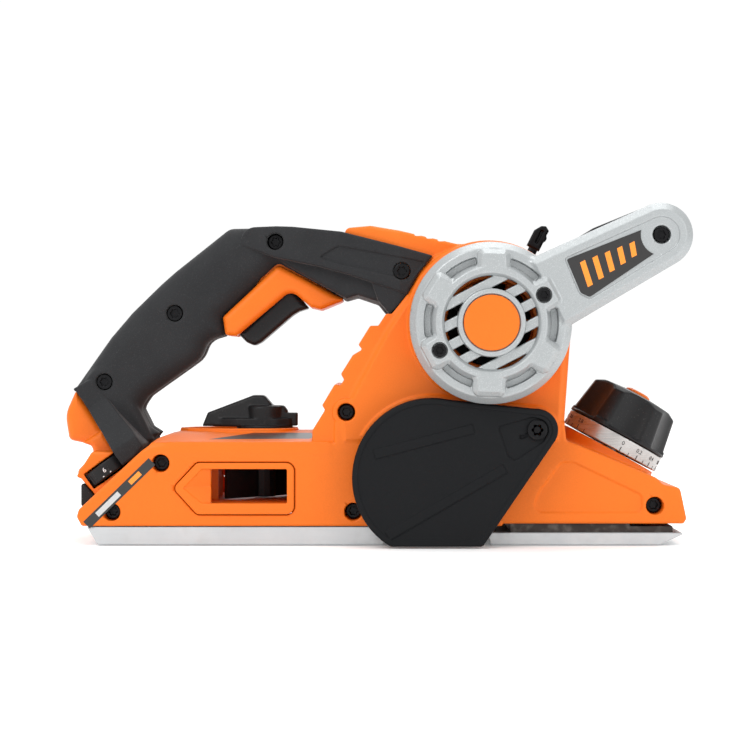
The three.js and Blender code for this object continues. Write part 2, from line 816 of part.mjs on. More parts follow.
function addBeltDrive() {
  const { inner, outer, thickness } = BELT;
  add('drum_pulley', tube(DRUM, DRUM_PULLEY, DRUM_SHAFT_RADIUS + GAP, inner, outer), SILVER());
  add('motor_pulley', tube(MOTOR, MOTOR_PULLEY, MOTOR_SHAFT_RADIUS + GAP, inner, outer), STEEL());
  const loop = aroundPulleys(DRUM_PULLEY + GAP + thickness, MOTOR_PULLEY + GAP + thickness);
  const inside = aroundPulleys(DRUM_PULLEY + GAP, MOTOR_PULLEY + GAP);
  add('drive_belt', slab(loop, inner + 0.5, outer - 0.5, [inside]), RUBBER());

  const shell = slab(aroundPulleys(26, 18.6), MOTOR_HALF + GAP, 69);
  const hollow = slab(aroundPulleys(23.5, 16.1), MOTOR_HALF, 66.5);
  add('belt_cover', shell.subtract(hollow), ORANGE());
}

// ---------------------------------------------------------------- motor

function addMotor() {
  const shaft = MOTOR_SHAFT_RADIUS;
  const end = BELT.outer + 1;
  const armature = [[0, -53.5], [shaft, -53.5], [shaft, -26], [21.5, -26], [21.5, 10], [shaft, 10],
    [shaft, 14], [12, 14], [12, 28], [shaft, 28], [shaft, end], [0, end]];
  add('armature', turnedAboutY(armature, MOTOR), COPPER());
  add('stator', tube(MOTOR, 34.5, 22.3, -24, 8), STEEL());
  add('motor_bearing_right', tube(MOTOR, BEARING_RADIUS, shaft + GAP, -49.3, -42.5, 20), STEEL());
  add('motor_bearing_left', tube(MOTOR, BEARING_RADIUS, shaft + GAP, 34.3, 41.3, 20), STEEL());

  const disc = tube(MOTOR, 33, shaft + GAP, -31.5, -30);
  const hub = tube(MOTOR, 10, shaft + GAP, -40, -30, 16);
  const vanes = Array.from({ length: 7 }, (_, k) => {
    const place = new THREE.Matrix4().makeRotationY((k * 2 * Math.PI) / 7).setPosition(MOTOR.x, 0, MOTOR.z);
    return box(8, 32, -40, -31, -0.8, 0.8, place);
  });
  add('cooling_fan', join(disc, hub, ...vanes), BLACK());
  add('brush_front', box(MOTOR.x + 12.4, MOTOR.x + 26, 17, 25, MOTOR.z - 3.5, MOTOR.z + 3.5), BLACK());
  add('brush_rear', box(MOTOR.x - 26, MOTOR.x - 12.4, 17, 25, MOTOR.z - 3.5, MOTOR.z + 3.5), BLACK());
}

// ---------------------------------------------------------------- vent cover, arms and front handle

const armOutline = (from, widthThere) => [
  onArm(from, widthThere),
  onArm(from, -widthThere),
  ...arc(...onArm(ARM.length, 0), ARM.end, 27.4 - 88, 27.4 + 88, 10),
];

function radialBlock(angle, corners, from, to) {
  const turn = THREE.MathUtils.degToRad(angle);
  const placed = corners.map(([along, across]) => [
    MOTOR.x + along * Math.cos(turn) - across * Math.sin(turn),
    MOTOR.z + along * Math.sin(turn) + across * Math.cos(turn),
  ]);
  return slab(placed, from, to);
}

function arcSlot(angle) {
  const inner = arc(MOTOR.x, MOTOR.z, 28.2, angle - 14.5, angle + 14.5, 3);
  const outer = arc(MOTOR.x, MOTOR.z, 31.6, angle + 14.5, angle - 14.5, 3);
  return slab([...inner, ...outer], -60, -80);
}

// Openings between the slanting bars round the badge.
function ventOpenings() {
  const ring = tube(MOTOR, 22.3, 16.3, -60, -80);
  const bars = [-3, -2, -1, 0, 1, 2].map((k) => {
    const low = (k + 0.5) * 6.4 - 1.7;
    return radialBlock(27.4, [[-30, low], [30, low], [30, low + 3.4], [-30, low + 3.4]], -60, -80);
  });
  return join(...bars).intersect(ring);
}

const COVER_SCREWS = [28, 208].map((angle) => {
  const turn = THREE.MathUtils.degToRad(angle);
  return { x: MOTOR.x + 27.8 * Math.cos(turn), z: MOTOR.z + 27.8 * Math.sin(turn) };
});

function addVentCover() {
  const { radius, back, rim, face, boss } = COVER;
  const dish = [[0, rim - 1], [34, rim - 1], [34, back], [radius, back], [radius, rim + 1],
    [36.5, rim - 2.5], [34.5, face + 2.5], [29.5, face + 2.5], [28, face + 1.5], [28, boss + 1],
    [22.4, boss + 1], [22.4, face], [16, face], [16, boss + 0.5], [13.9, boss + 0.5],
    [13.9, boss + 2], [0, boss + 2]];
  const lobe = [[24, -8], [33, -6.5], [34.6, -5], [34.6, 5], [33, 6.5], [24, 8]];
  const lobes = Array.from({ length: 6 }, (_, k) => radialBlock(28 + 60 * k, lobe, face + 3, boss + 1));
  const posts = COVER_SCREWS.map((at) => rod(at, 5, back, face, 12));
  const arm = slab(armOutline(31, 18.6), -64, -72);
  const label = [onArm(43.5, 10), onArm(43.5, -8, 2), onArm(48, -13, 2), onArm(74, -10.5),
    onArm(71.5, 0), onArm(74, 8)];
  const end = { x: onArm(ARM.length, 0)[0], z: onArm(ARM.length, 0)[1] };
  const cover = cut(
    join(turnedAboutY(dish, MOTOR, 36), ...lobes, ...posts, arm),
    ...Array.from({ length: 6 }, (_, k) => arcSlot(58 + 60 * k)),
    ventOpenings(),
    ...COVER_SCREWS.map((at) => join(rod(at, 2.3, -60, -80, 8), rod(at, 3.6, -72.2, -80, 12))),
    slab(label, -71, -75),
    rod(end, 4.1, -67, -75, 12),
    rod(end, 2.3, -60, -75, 8),
  );
  add('fan_cover', cover, SILVER());
  add('cover_badge', rod(MOTOR, 13.5, boss + 2 - GAP, boss), ORANGE());
  COVER_SCREWS.forEach((at, k) => {
    const screw = rod(at, 3.2, -72.4, -74.4, 12).add(rod(at, 1.9, -72.5, -52, 8));
    add(`cover_screw_${k + 1}`, screw, STEEL());
  });
}

function addFrontHandle() {
  const left = slab(armOutline(21, 16), MOTOR_HALF + GAP, MOTOR_HALF + GAP + ARM.thickness);
  const clear = rod(MOTOR, 19.5, 40, 60);
  add('handle_arm_left', left.subtract(clear), SILVER());
  const section = [onArm(56, 18.4, 7), onArm(104, 14, 12), onArm(104, -13.5, 12), onArm(60, -13, 9)];
  add('front_handle_bar', slab(section, -63.7, MOTOR_HALF), RUBBER());
}

// ---------------------------------------------------------------- side guard

function addSideGuard() {
  const { inner, outer, plate: skin } = GUARD;
  const face = slab(GUARD_OUTLINE, outer, outer + skin);
  const rimmed = slab(GUARD_OUTLINE, outer + skin - 0.1, inner);
  const hollow = slab(offset(GUARD_OUTLINE, -2), outer + skin, inner + 1);
  const openFoot = box(-20, 60, outer + skin, inner + 1, -1, 8);
  const hub = rod(GUARD, 5.2, outer + skin - 0.1, inner, 16);
  const bore = rod(GUARD, 3.3, outer - 1, inner + 1, 12);
  const recess = rod(GUARD, 5.4, outer - 1, outer + 1.3, 16);
  add('side_guard', cut(join(face, cut(rimmed, hollow, openFoot), hub), bore, recess), BLACK());
  const screw = join(rod(GUARD, 5, outer - 0.6, outer + 1, 16), rod(GUARD, 2.9, outer + 0.9, -47.2, 12),
    rod(GUARD, 1.9, -47.3, -32, 8));
  add('guard_pivot_screw', screw, STEEL());
  const along = new THREE.Matrix4().makeRotationX(Math.PI / 2).setPosition(GUARD.x, 0, GUARD.z);
  add('guard_spring', coil(6.6, 0.7, 49, 57, 3, along), STEEL());
}

// ---------------------------------------------------------------- chip system

function addChipSystem() {
  const hub = plate(circle(SELECTOR.x, 0, SELECTOR.radius, 20), SELECTOR.bottom, 65);
  const lever = [[-87.3, 56], [-84.5, 62, 2], [-63, 71.4, 2], [-56, 71.8, 2], [-48, 65], [-48, 56]];
  const wing = slab(lever, -5, 5);
  const tab = slab([[-52, 56], [-52, 62.5], [-42, 62.5, 1], [-39, 56]], -5, 5);
  const stem = plate(circle(SELECTOR.x, 0, 5.5, 12), 37, SELECTOR.bottom + 1);
  add('chip_selector', join(hub, wing, tab, stem), BLACK());

  const swing = new THREE.Matrix4().makeRotationZ(Math.PI / 4).setPosition(SELECTOR.x, 0, 0);
  const leaf = box(-SELECTOR.flap, SELECTOR.flap, -1, 1, DUCT.floor + 0.6, DUCT.roof - 0.6, swing);
  const spindle = plate(circle(SELECTOR.x, 0, 5.5, 12), DUCT.floor + 0.6, DUCT.roof - 0.4);
  add('chip_flap', leaf.add(spindle), BLACK());

  const plan = [[-88, -40.6], [-38, -40.6], [-28, -30], [-28, -15], [-3.5, -15], [-3.5, 15],
    [-28, 15], [-28, 30], [-38, 40.6], [-88, 40.6]];
  const side = slab([[-88, 17], [-28, 17], [-28, 23.4], [-3.5, 23.4], [-3.5, 41], [-88, 41]], -45, 45);
  const duct = cut(
    plate(plan, 10, 45).intersect(side),
    plate(circle(SELECTOR.x, 0, CHAMBER_RADIUS, 28), DUCT.floor, DUCT.roof),
    box(-84, -42.5, -45, -15, DUCT.floor, DUCT.roof),
    box(-84, -42.5, 15, 45, DUCT.floor, DUCT.roof),
    box(-42, 0, -12, 12, 26, DUCT.roof),
    plate(circle(SELECTOR.x, 0, 6.4, 12), DUCT.roof - 1, 45),
  );
  add('chip_duct', duct, BLACK());
  for (const [name, side] of [['right', RIGHT], ['left', LEFT]]) {
    const bezel = slab(PORT, side * 41, side * (BODY_HALF + 1));
    add(`port_bezel_${name}`, bezel.subtract(slab(PORT_OPENING, side * 40, side * 48)), ORANGE());
  }
}

function addWrench() {
  const head = [[-3.4, 0.6], [-4.2, 9], [-3, 12.6], [0.4, 14], [3.6, 12], [4, 8.4], [3, 6.6],
    [4.2, 4.4], [3.2, 0.6]];
  const shape = new THREE.Shape(head.map(([x, z]) => new THREE.Vector2(x, z)));
  const geometry = new THREE.ExtrudeGeometry(shape, { depth: 5, bevelEnabled: false });
  geometry.rotateX(Math.PI / 2).translate(0, 2.5, 0).applyMatrix4(wrenchFrame());
  const shank = turned([[0, -WRENCH.depth], [2.5, -WRENCH.depth], [2.5, 1], [0, 1]], wrenchFrame(), 6);
  add('blade_wrench', solid(geometry).add(shank), BLACK());
}

// ---------------------------------------------------------------- everything in place

add('housing_right', housing(RIGHT), ORANGE());
add('housing_left', housing(LEFT), ORANGE());
add('grip_right', grip(RIGHT), RUBBER());
add('grip_left', grip(LEFT), RUBBER());
BODY_SCREWS.forEach(([x, z], k) => {
  const seat = RIGHT * ((z > 60 ? MOTOR_HALF : BODY_HALF) - SCREW.headDepth) - GAP;
  const head = rod({ x, z }, SCREW.head, seat, seat - 3, 12);
  const screw = head.add(rod({ x, z }, SCREW.shank, seat - 0.1, 36, 8));
  add(`housing_screw_${k + 1}`, screw, STEEL());
});
addElectrics();
addShoes();
addDepthControl();
addDrum();
addBeltDrive();
addMotor();
addVentCover();
addFrontHandle();
addSideGuard();
addChipSystem();
addWrench();

export default planer;
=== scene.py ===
# Looks of the electric hand planer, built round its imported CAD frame.
#
# Mouldings and castings are modelled as signed distances on a grid, in millimetres, and then meshed.
# That gives every edge the soft radius of a moulded part, and lets shapes blend into each other.
# +X is forward, +Y the machine's left, +Z up. Outlines are drawn in the side view, as X-Z corners.

import json
import math
from functools import partial

import bmesh
import bpy
import numpy as np
import openvdb
from mathutils import Matrix, Vector

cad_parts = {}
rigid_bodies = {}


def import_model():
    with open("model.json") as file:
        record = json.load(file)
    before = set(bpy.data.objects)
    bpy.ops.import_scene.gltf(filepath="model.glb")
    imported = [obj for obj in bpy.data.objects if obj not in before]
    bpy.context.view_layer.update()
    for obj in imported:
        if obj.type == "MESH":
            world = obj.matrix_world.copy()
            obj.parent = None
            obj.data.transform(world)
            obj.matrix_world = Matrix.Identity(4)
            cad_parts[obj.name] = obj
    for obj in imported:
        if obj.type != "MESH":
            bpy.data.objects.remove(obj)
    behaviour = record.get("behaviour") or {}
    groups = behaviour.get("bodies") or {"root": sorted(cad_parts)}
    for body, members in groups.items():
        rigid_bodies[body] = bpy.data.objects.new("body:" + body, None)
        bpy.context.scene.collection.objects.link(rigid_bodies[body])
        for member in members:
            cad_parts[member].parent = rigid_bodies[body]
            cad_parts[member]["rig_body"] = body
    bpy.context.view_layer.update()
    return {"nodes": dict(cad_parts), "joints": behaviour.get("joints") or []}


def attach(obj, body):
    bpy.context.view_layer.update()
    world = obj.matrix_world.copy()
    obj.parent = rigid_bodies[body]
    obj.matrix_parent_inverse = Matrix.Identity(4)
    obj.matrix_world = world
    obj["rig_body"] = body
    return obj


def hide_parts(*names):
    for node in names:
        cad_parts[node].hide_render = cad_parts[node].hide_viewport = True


for leftover in list(bpy.data.objects):
    bpy.data.objects.remove(leftover)
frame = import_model()

MM = 0.001
RIGHT = -1
LEFT = 1
SIDE_NAMES = {RIGHT: "right", LEFT: "left"}
FAR = 9.0  # distances beyond this aren't kept
SEAM = 0.15  # half the gap between two mouldings that meet on the centre plane
PAST_CENTRE = -3  # halves are drawn this far past the centre plane and trimmed there
SLANT = 0.7071  # sine and cosine of 45 degrees

joints = {joint["name"]: joint for joint in frame["joints"]}


def joint_place(name):
    """A joint's pivot in millimetres."""
    return [value / MM for value in joints[name]["pos_m"]]


DRUM_X, _, DRUM_Z = joint_place("drum_spin")
MOTOR_X, _, MOTOR_Z = joint_place("rotor_spin")
GUARD_X, _, GUARD_Z = joint_place("side_guard_swing")
DRUM = (DRUM_X, DRUM_Z)
MOTOR = (MOTOR_X, MOTOR_Z)
GUARD_PIVOT = (GUARD_X, GUARD_Z)
SELECTOR_X = joint_place("chip_selector_turn")[0]

BODY_HALF = 45  # half width of the lower body
MOTOR_HALF = 46  # half width of the motor housing
BODY_FLOOR = 9  # underside of the plastic body
DECK_HALF = 44.5  # half width of the deck at its edge
DECK_EDGE = 49.5  # height of the deck at its edge
DECK_SLOPE = 6  # how far the deck runs inwards for each millimetre that it rises
COVER_BACK = -62.3  # Y where the vent cover meets the housing
COVER_RADIUS = 38.6
LOBES = 6  # lobes and slots round the cover
ARM_ANGLE = math.radians(27.4)
ARM_LENGTH = 90.5  # from the motor's centre to the arm's bolt
ARM_END = 15.2  # radius of the arm's end

# The recessed screws that close the body, as (x, z).
BODY_SCREWS = [(-104.1, 39.6), (-127.9, 15.9), (-13.9, 64.4), (-10.5, 16.1), (135.8, 19.0)]
# Those that close the handle, as (x, z, half width of the handle there, depth of the recess).
HANDLE_SCREWS = [
    (-135.1, 78.8, 18.6, 3.6), (-100.0, 113.0, 18.6, 3.6), (-49.6, 148.6, 18.6, 3.6),
    (13.1, 132.9, 44.6, 2.6),
]


# ---------------------------------------------------------------- outlines


def rounded(corners, step=8):
    """Replaces every corner written as (x, z, radius) by an arc of that radius."""
    points = []
    for i, corner in enumerate(corners):
        here = Vector(corner[:2])
        if len(corner) == 2:
            points.append(here)
            continue
        before = (Vector(corners[i - 1][:2]) - here).normalized()
        after = (Vector(corners[(i + 1) % len(corners)][:2]) - here).normalized()
        half = before.angle(after) / 2
        centre = here + (before + after).normalized() * (corner[2] / math.sin(half))
        start = here + before * (corner[2] / math.tan(half)) - centre
        turn = math.pi - 2 * half
        side = -1 if before.cross(after) > 0 else 1
        pieces = max(1, round(math.degrees(turn) / step))
        for k in range(pieces + 1):
            points.append(centre + Matrix.Rotation(side * turn * k / pieces, 2) @ start)
    return np.array([tuple(point) for point in points], np.float32)


def arc(x, z, radius, start, end, step=5):
    """Points of an arc about (x, z), between two angles in degrees."""
    pieces = max(1, round(abs(end - start) / step))
    angles = [math.radians(start + (end - start) * k / pieces) for k in range(pieces + 1)]
    return [(x + radius * math.cos(a), z + radius * math.sin(a)) for a in angles]


def circle(x, z, radius):
    return arc(x, z, radius, 0, 355)


def mirrored(half):
    """An outline that is symmetric about the X axis, from the half of it on one side."""
    return half + [(x, -across, *radius) for x, across, *radius in reversed(half)]


def stripe(x0, z0, x1, z1, width):
    """A straight strip between two points of the side view."""
    along = Vector((x1 - x0, z1 - z0)).normalized() * (width / 2)
    side = Vector((-along.y, along.x))
    a, b = Vector((x0, z0)), Vector((x1, z1))
    return [tuple(a + side), tuple(b + side), tuple(b - side), tuple(a - side)]


def grown(outline, by):
    """An outline's points moved out along their normals."""
    points = rounded(outline).astype(float)
    following = np.roll(points, -1, axis=0)
    area = np.sum(points[:, 0] * following[:, 1] - following[:, 0] * points[:, 1])
    ahead = following - points
    ahead /= np.linalg.norm(ahead, axis=1)[:, None]
    behind = np.roll(ahead, 1, axis=0)
    normal = np.stack([(ahead + behind)[:, 1], -(ahead + behind)[:, 0]], axis=1)
    normal /= np.linalg.norm(normal, axis=1)[:, None]
    facing = np.stack([ahead[:, 1], -ahead[:, 0]], axis=1)
    reach = by * np.sign(area) / np.maximum(0.5, np.sum(normal * facing, axis=1))
    return [tuple(point) for point in points + normal * reach[:, None]]


def outline_distance(x, z, points):
    """Signed distance from (x, z) to a closed outline, negative inside."""
    nearest = np.full(np.broadcast(x, z).shape, 1e9, np.float32)
    inside = np.zeros(nearest.shape, bool)
    for (x0, z0), (x1, z1) in zip(points, np.roll(points, -1, axis=0)):
        dx, dz = x1 - x0, z1 - z0
        along = np.clip(((x - x0) * dx + (z - z0) * dz) / max(dx * dx + dz * dz, 1e-9), 0, 1)
        nearest = np.minimum(nearest, (x - x0 - along * dx) ** 2 + (z - z0 - along * dz) ** 2)
        if dz != 0:
            inside ^= ((z0 > z) != (z1 > z)) & (x < x0 + (z - z0) * dx / dz)
    return np.where(inside, -1, 1).astype(np.float32) * np.sqrt(nearest)


# ---------------------------------------------------------------- shapes


FACE_REACH = 70  # further out than any face that is a function of x and z


class Shape:
    """A solid as a distance function of x, y and z, with the box that holds it."""

    def __init__(self, low, high, distance):
        self.low = low
        self.high = high
        self.distance = distance


def round_edge(a, b, radius):
    """Where two faces meet, an edge of that radius."""
    a, b = a + radius, b + radius
    return np.minimum(np.maximum(a, b), 0) + np.hypot(np.maximum(a, 0), np.maximum(b, 0)) - radius


def face_distance(y, face, x, z, outward):
    """Distance past a face that is a Y value, or a function of x and z with its own slope."""
    if not callable(face):
        return outward * (y - np.float32(face))
    heights = np.broadcast_to(face(x, z), (x.size, 1, z.size)).astype(np.float32)
    flat = heights[:, 0, :]
    across, up = np.gradient(flat, float(x.flat[1] - x.flat[0]), float(z.flat[1] - z.flat[0]))
    steepness = np.sqrt(1 + across**2 + up**2)[:, None, :].astype(np.float32)
    return outward * (y - heights) / steepness


def pulled(outline, start, end, edge=1.0, chamfer=0.0):
    """An X-Z outline pulled along Y between two faces, start below end."""
    points = rounded(outline)
    low = (points[:, 0].min(), -FACE_REACH if callable(start) else start, points[:, 1].min())
    high = (points[:, 0].max(), FACE_REACH if callable(end) else end, points[:, 1].max())

    def distance(x, y, z):
        side = outline_distance(x, z, points)
        ends = np.maximum(face_distance(y, start, x, z, -1), face_distance(y, end, x, z, 1))
        if chamfer:
            return np.maximum(np.maximum(side, ends), (side + ends + chamfer) * SLANT)
        return round_edge(side, ends, edge)

    return Shape(low, high, distance)


def one_side(side, inner, outer):
    """The start and end faces of a slab that lies on one side of the centre plane."""

    def signed(face):
        if callable(face):
            return lambda x, z: side * face(x, z)
        return side * face

    faces = [signed(inner), signed(outer)]
    return faces if side == LEFT else faces[::-1]


def spun(profile, x0, z0):
    """A profile of (radius, y) corners turned about an axis along Y."""
    points = rounded(profile)
    reach = points[:, 0].max()
    low = (x0 - reach, points[:, 1].min(), z0 - reach)
    high = (x0 + reach, points[:, 1].max(), z0 + reach)
    points[points[:, 0] <= 0, 0] = -FAR

    def distance(x, y, z):
        return outline_distance(np.hypot(x - x0, z - z0), y, points)

    return Shape(low, high, distance)


def spun_up(profile):
    """A profile of (radius, z) corners turned about the Z axis."""
    points = rounded(profile)
    reach = points[:, 0].max()
    low, high = (-reach, -reach, points[:, 1].min()), (reach, reach, points[:, 1].max())
    points[points[:, 0] <= 0, 0] = -FAR

    def distance(x, y, z):
        return outline_distance(np.hypot(x, y), z, points)

    return Shape(low, high, distance)


def raised(outline, bottom, top, edge=1.0):
    """An X-Y outline pulled up along Z."""
    points = rounded(outline)
    low = (points[:, 0].min(), points[:, 1].min(), bottom)
    high = (points[:, 0].max(), points[:, 1].max(), top)

    def distance(x, y, z):
        return round_edge(outline_distance(x, y, points), np.maximum(bottom - z, z - top), edge)

    return Shape(low, high, distance)


def rod(x, z, radius, start, end, edge=0.3):
    """A round bar along Y."""
    low, high = (x - radius, start, z - radius), (x + radius, end, z + radius)

    def distance(px, py, pz):
        side = np.hypot(px - x, pz - z) - radius
        return round_edge(side, np.maximum(start - py, py - end), edge)

    return Shape(low, high, distance)


def rod_on(side, x, z, radius, inner, outer, edge=0.3):
    """A round bar along Y on one side of the centre plane, from inner out to outer."""
    return rod(x, z, radius, *sorted((side * inner, side * outer)), edge)


def brick(low, high, edge=0.5):
    """A box between two corners, rounded along all its edges."""
    middle = [(a + b) / 2 for a, b in zip(low, high)]
    size = [(b - a) / 2 for a, b in zip(low, high)]

    def distance(x, y, z):
        away = [abs(p - m) - s for p, m, s in zip((x, y, z), middle, size)]
        return round_edge(round_edge(away[0], away[1], edge), away[2], edge)

    return Shape(low, high, distance)


def placed(matrix, shape):
    """A shape drawn in its own frame, moved by a matrix in millimetres."""
    back = matrix.inverted()
    ends = list(zip(shape.low, shape.high))
    corners = [matrix @ Vector((a, b, c)) for a in ends[0] for b in ends[1] for c in ends[2]]
    low = [min(corner[k] for corner in corners) for k in range(3)]
    high = [max(corner[k] for corner in corners) for k in range(3)]

    def distance(x, y, z):
        local = [row[0] * x + row[1] * y + row[2] * z + np.float32(row[3]) for row in back[:3]]
        return shape.distance(*local)

    return Shape(low, high, distance)


def lathed(place, profile):
    """A profile of (radius, z) corners turned about the Z axis of a frame."""
    return placed(place, spun_up(profile))


def disc(place, radius, bottom, top):
    """A sharp-edged cylinder along the Z axis of a frame."""
    return lathed(place, [(0, bottom), (radius, bottom), (radius, top), (0, top)])


def both(first, second):
    """What two shapes have in common."""
    low = [max(pair) for pair in zip(first.low, second.low)]
    high = [min(pair) for pair in zip(first.high, second.high)]

    def distance(x, y, z):
        return np.maximum(first.distance(x, y, z), second.distance(x, y, z))

    return Shape(low, high, distance)


def without(first, second):
    """The first shape less the second."""

    def distance(x, y, z):
        return np.maximum(first.distance(x, y, z), -second.distance(x, y, z))

    return Shape(first.low, first.high, distance)


# ---------------------------------------------------------------- the grid that shapes are worked in


class Clay:
    """A solid being modelled: distances in millimetres on a grid, negative inside."""

    def __init__(self, low, high, voxel=0.5):
        self.voxel = voxel * 1
        margin = 3 * self.voxel
        self.low = np.array(low, float) - margin
        counts = np.ceil((np.array(high) + margin - self.low) / self.voxel).astype(int) + 1
        self.axes = [
            (low_end + self.voxel * np.arange(count)).astype(np.float32)
            for low_end, count in zip(self.low, counts)
        ]
        self.field = np.full(tuple(counts), FAR, np.float32)

    def _window(self, shape, margin):
        """The part of the grid near a shape: its slices, and its x, y and z as open arrays."""
        slices, parts = [], []
        for k, axis in enumerate(self.axes):
            first = np.searchsorted(axis, shape.low[k] - margin)
            last = np.searchsorted(axis, shape.high[k] + margin)
            slices.append(slice(first, last))
            form = [1, 1, 1]
            form[k] = -1
            parts.append(axis[first:last].reshape(form))
        return tuple(slices), parts

    def _merge(self, shape, sign, soft):
        window, parts = self._window(shape, soft + 3)
        if min(part.size for part in parts) < 2:
            return self
        old = sign * self.field[window]
        new = shape.distance(*parts)
        if soft:
            mix = np.clip(0.5 + 0.5 * (old - new) / soft, 0, 1)
            merged = old * (1 - mix) + new * mix - soft * mix * (1 - mix)
        else:
            merged = np.minimum(old, new)
        self.field[window] = sign * merged
        return self

    def add(self, shape, soft=0.0):
        """Joins a shape on, with a fillet where soft is given."""
        return self._merge(shape, 1, soft)

    def cut(self, shape, soft=0.0):
        """Takes a shape away, with a rounded edge where soft is given."""
        return self._merge(shape, -1, soft)

    def keep_side(self, side, gap=SEAM):
        """Keeps one side of the centre plane."""
        y = self.axes[1].reshape(1, -1, 1)
        np.maximum(self.field, gap - side * y, out=self.field)
        return self

    def _sample(self, index):
        """Distances at places between the grid's points."""
        limit = np.array(self.field.shape) - 2
        base = np.clip(np.floor(index).astype(int), 0, limit)
        part = index - base
        total = np.zeros(len(index))
        for corner in np.ndindex(2, 2, 2):
            weight = np.prod(np.where(corner, part, 1 - part), axis=1)
            total += weight * self.field[tuple((base + corner).T)]
        return total

    def mesh(self, name, smoothing=0.012):
        """The surface as a mesh in metres, with normals taken from the distances."""
        reach = 3 * self.voxel
        grid = openvdb.FloatGrid(reach)
        grid.copyFromArray(np.clip(self.field, -reach, reach))
        index, triangles, quads = grid.convertToPolygons(0.0, smoothing)
        step = np.eye(3) * 0.7
        normals = np.stack([self._sample(index + s) - self._sample(index - s) for s in step], axis=1)
        normals /= np.maximum(np.linalg.norm(normals, axis=1), 1e-9)[:, None]
        points = (self.low + index * self.voxel) * MM
        mesh = bpy.data.meshes.new(name)
        mesh.vertices.add(len(points))
        mesh.vertices.foreach_set("co", points.astype(np.float32).ravel())
        loops = np.concatenate([quads.ravel(), triangles.ravel()]).astype(np.int32)
        sizes = np.array([4] * len(quads) + [3] * len(triangles), np.int32)
        mesh.loops.add(len(loops))
        mesh.loops.foreach_set("vertex_index", loops)
        mesh.polygons.add(len(sizes))
        mesh.polygons.foreach_set("loop_start", (np.cumsum(sizes) - sizes).astype(np.int32))
        mesh.update(calc_edges=True)
        mesh.validate()
        mesh.shade_smooth()
        if len(mesh.vertices) == len(normals):
            mesh.normals_split_custom_set_from_vertices(normals)
        return mesh


# ---------------------------------------------------------------- materials


class Look:
    """A node material being put together. Its coordinates are the mesh's own, in metres."""

    def __init__(self, name, colour, roughness, metallic=0.0):
        self.material = bpy.data.materials.new(name)
        self.material.use_nodes = True
        self.nodes = self.material.node_tree.nodes
        self.links = self.material.node_tree.links
        self.surface = self.nodes["Principled BSDF"]
        self.surface.inputs["Base Color"].default_value = (*colour, 1)
        self.surface.inputs["Roughness"].default_value = roughness
        self.surface.inputs["Metallic"].default_value = metallic
        self.place = self.nodes.new("ShaderNodeTexCoord").outputs["Object"]
        self.colour = self.nodes.new("ShaderNodeRGB").outputs[0]
        self.colour.default_value = (*colour, 1)

    def noise(self, scale, detail=2.0, stretch=(1, 1, 1), turn=0.0):
        """Noise with that many grains a metre; stretch squeezes it along each axis."""
        mapping = self.nodes.new("ShaderNodeMapping")
        mapping.inputs["Rotation"].default_value = (0, turn, 0)
        mapping.inputs["Scale"].default_value = stretch
        self.links.new(self.place, mapping.inputs["Vector"])
        noise = self.nodes.new("ShaderNodeTexNoise")
        noise.inputs["Scale"].default_value = scale
        noise.inputs["Detail"].default_value = detail
        self.links.new(mapping.outputs[0], noise.inputs["Vector"])
        return noise.outputs["Fac"]

    def spread(self, value, low, high, to_low=0.0, to_high=1.0):
        """Maps a range of a value onto another range."""
        node = self.nodes.new("ShaderNodeMapRange")
        node.inputs["From Min"].default_value = low
        node.inputs["From Max"].default_value = high
        node.inputs["To Min"].default_value = to_low
        node.inputs["To Max"].default_value = to_high
        self.links.new(value, node.inputs["Value"])
        return node.outputs["Result"]

    def height(self):
        """The Z coordinate, in metres."""
        split = self.nodes.new("ShaderNodeSeparateXYZ")
        self.links.new(self.place, split.inputs[0])
        return split.outputs["Z"]

    def tint(self, amount, colour):
        """Mixes a colour in by an amount."""
        mix = self.nodes.new("ShaderNodeMix")
        mix.data_type = "RGBA"
        self.links.new(amount, mix.inputs["Factor"])
        self.links.new(self.colour, mix.inputs["A"])
        mix.inputs["B"].default_value = (*colour, 1)
        self.colour = mix.outputs["Result"]
        return self

    def patches(self, scale, detail, low, high, amount, colour):
        """Tints up to an amount where noise passes from low to high."""
        return self.tint(self.spread(self.noise(scale, detail), low, high, 0, amount), colour)

    def gloss(self, value):
        """Takes a value as the roughness."""
        self.links.new(value, self.surface.inputs["Roughness"])
        return self

    def relief(self, value, depth, strength=1.0):
        """Bumps of that depth in millimetres."""
        bump = self.nodes.new("ShaderNodeBump")
        bump.inputs["Strength"].default_value = strength
        bump.inputs["Distance"].default_value = depth * MM
        self.links.new(value, bump.inputs["Height"])
        self.links.new(bump.outputs["Normal"], self.surface.inputs["Normal"])
        return self

    def done(self, **inputs):
        self.links.new(self.colour, self.surface.inputs["Base Color"])
        for name, value in inputs.items():
            self.surface.inputs[name.replace("_", " ")].default_value = value
        return self.material


def moulded(name, colour, roughness, grain, depth, dust=0.0, shine=0.25):
    """Injection-moulded plastic: a fine grain, slight drifts of gloss and colour, and dust if given."""
    look = Look(name, colour, roughness)
    drift = look.noise(22, 3)
    look.tint(look.spread(drift, 0.35, 0.7, 0, 0.22), [min(1, c * 1.25 + 0.004) for c in colour])
    look.patches(grain, 1, 0.3, 0.75, 0.2, [c * 0.75 for c in colour])
    if dust:
        look.patches(1500, 0, 0.72, 0.8, dust, (0.3, 0.29, 0.27))
    look.gloss(look.spread(drift, 0.3, 0.7, roughness - 0.05, roughness + 0.07))
    look.relief(look.noise(grain, 2), depth, 0.6)
    return look.done(Specular_IOR_Level=shine)


def orange_plastic():
    return moulded("orange_plastic", (0.75, 0.15, 0.008), 0.42, 1500, 0.05)


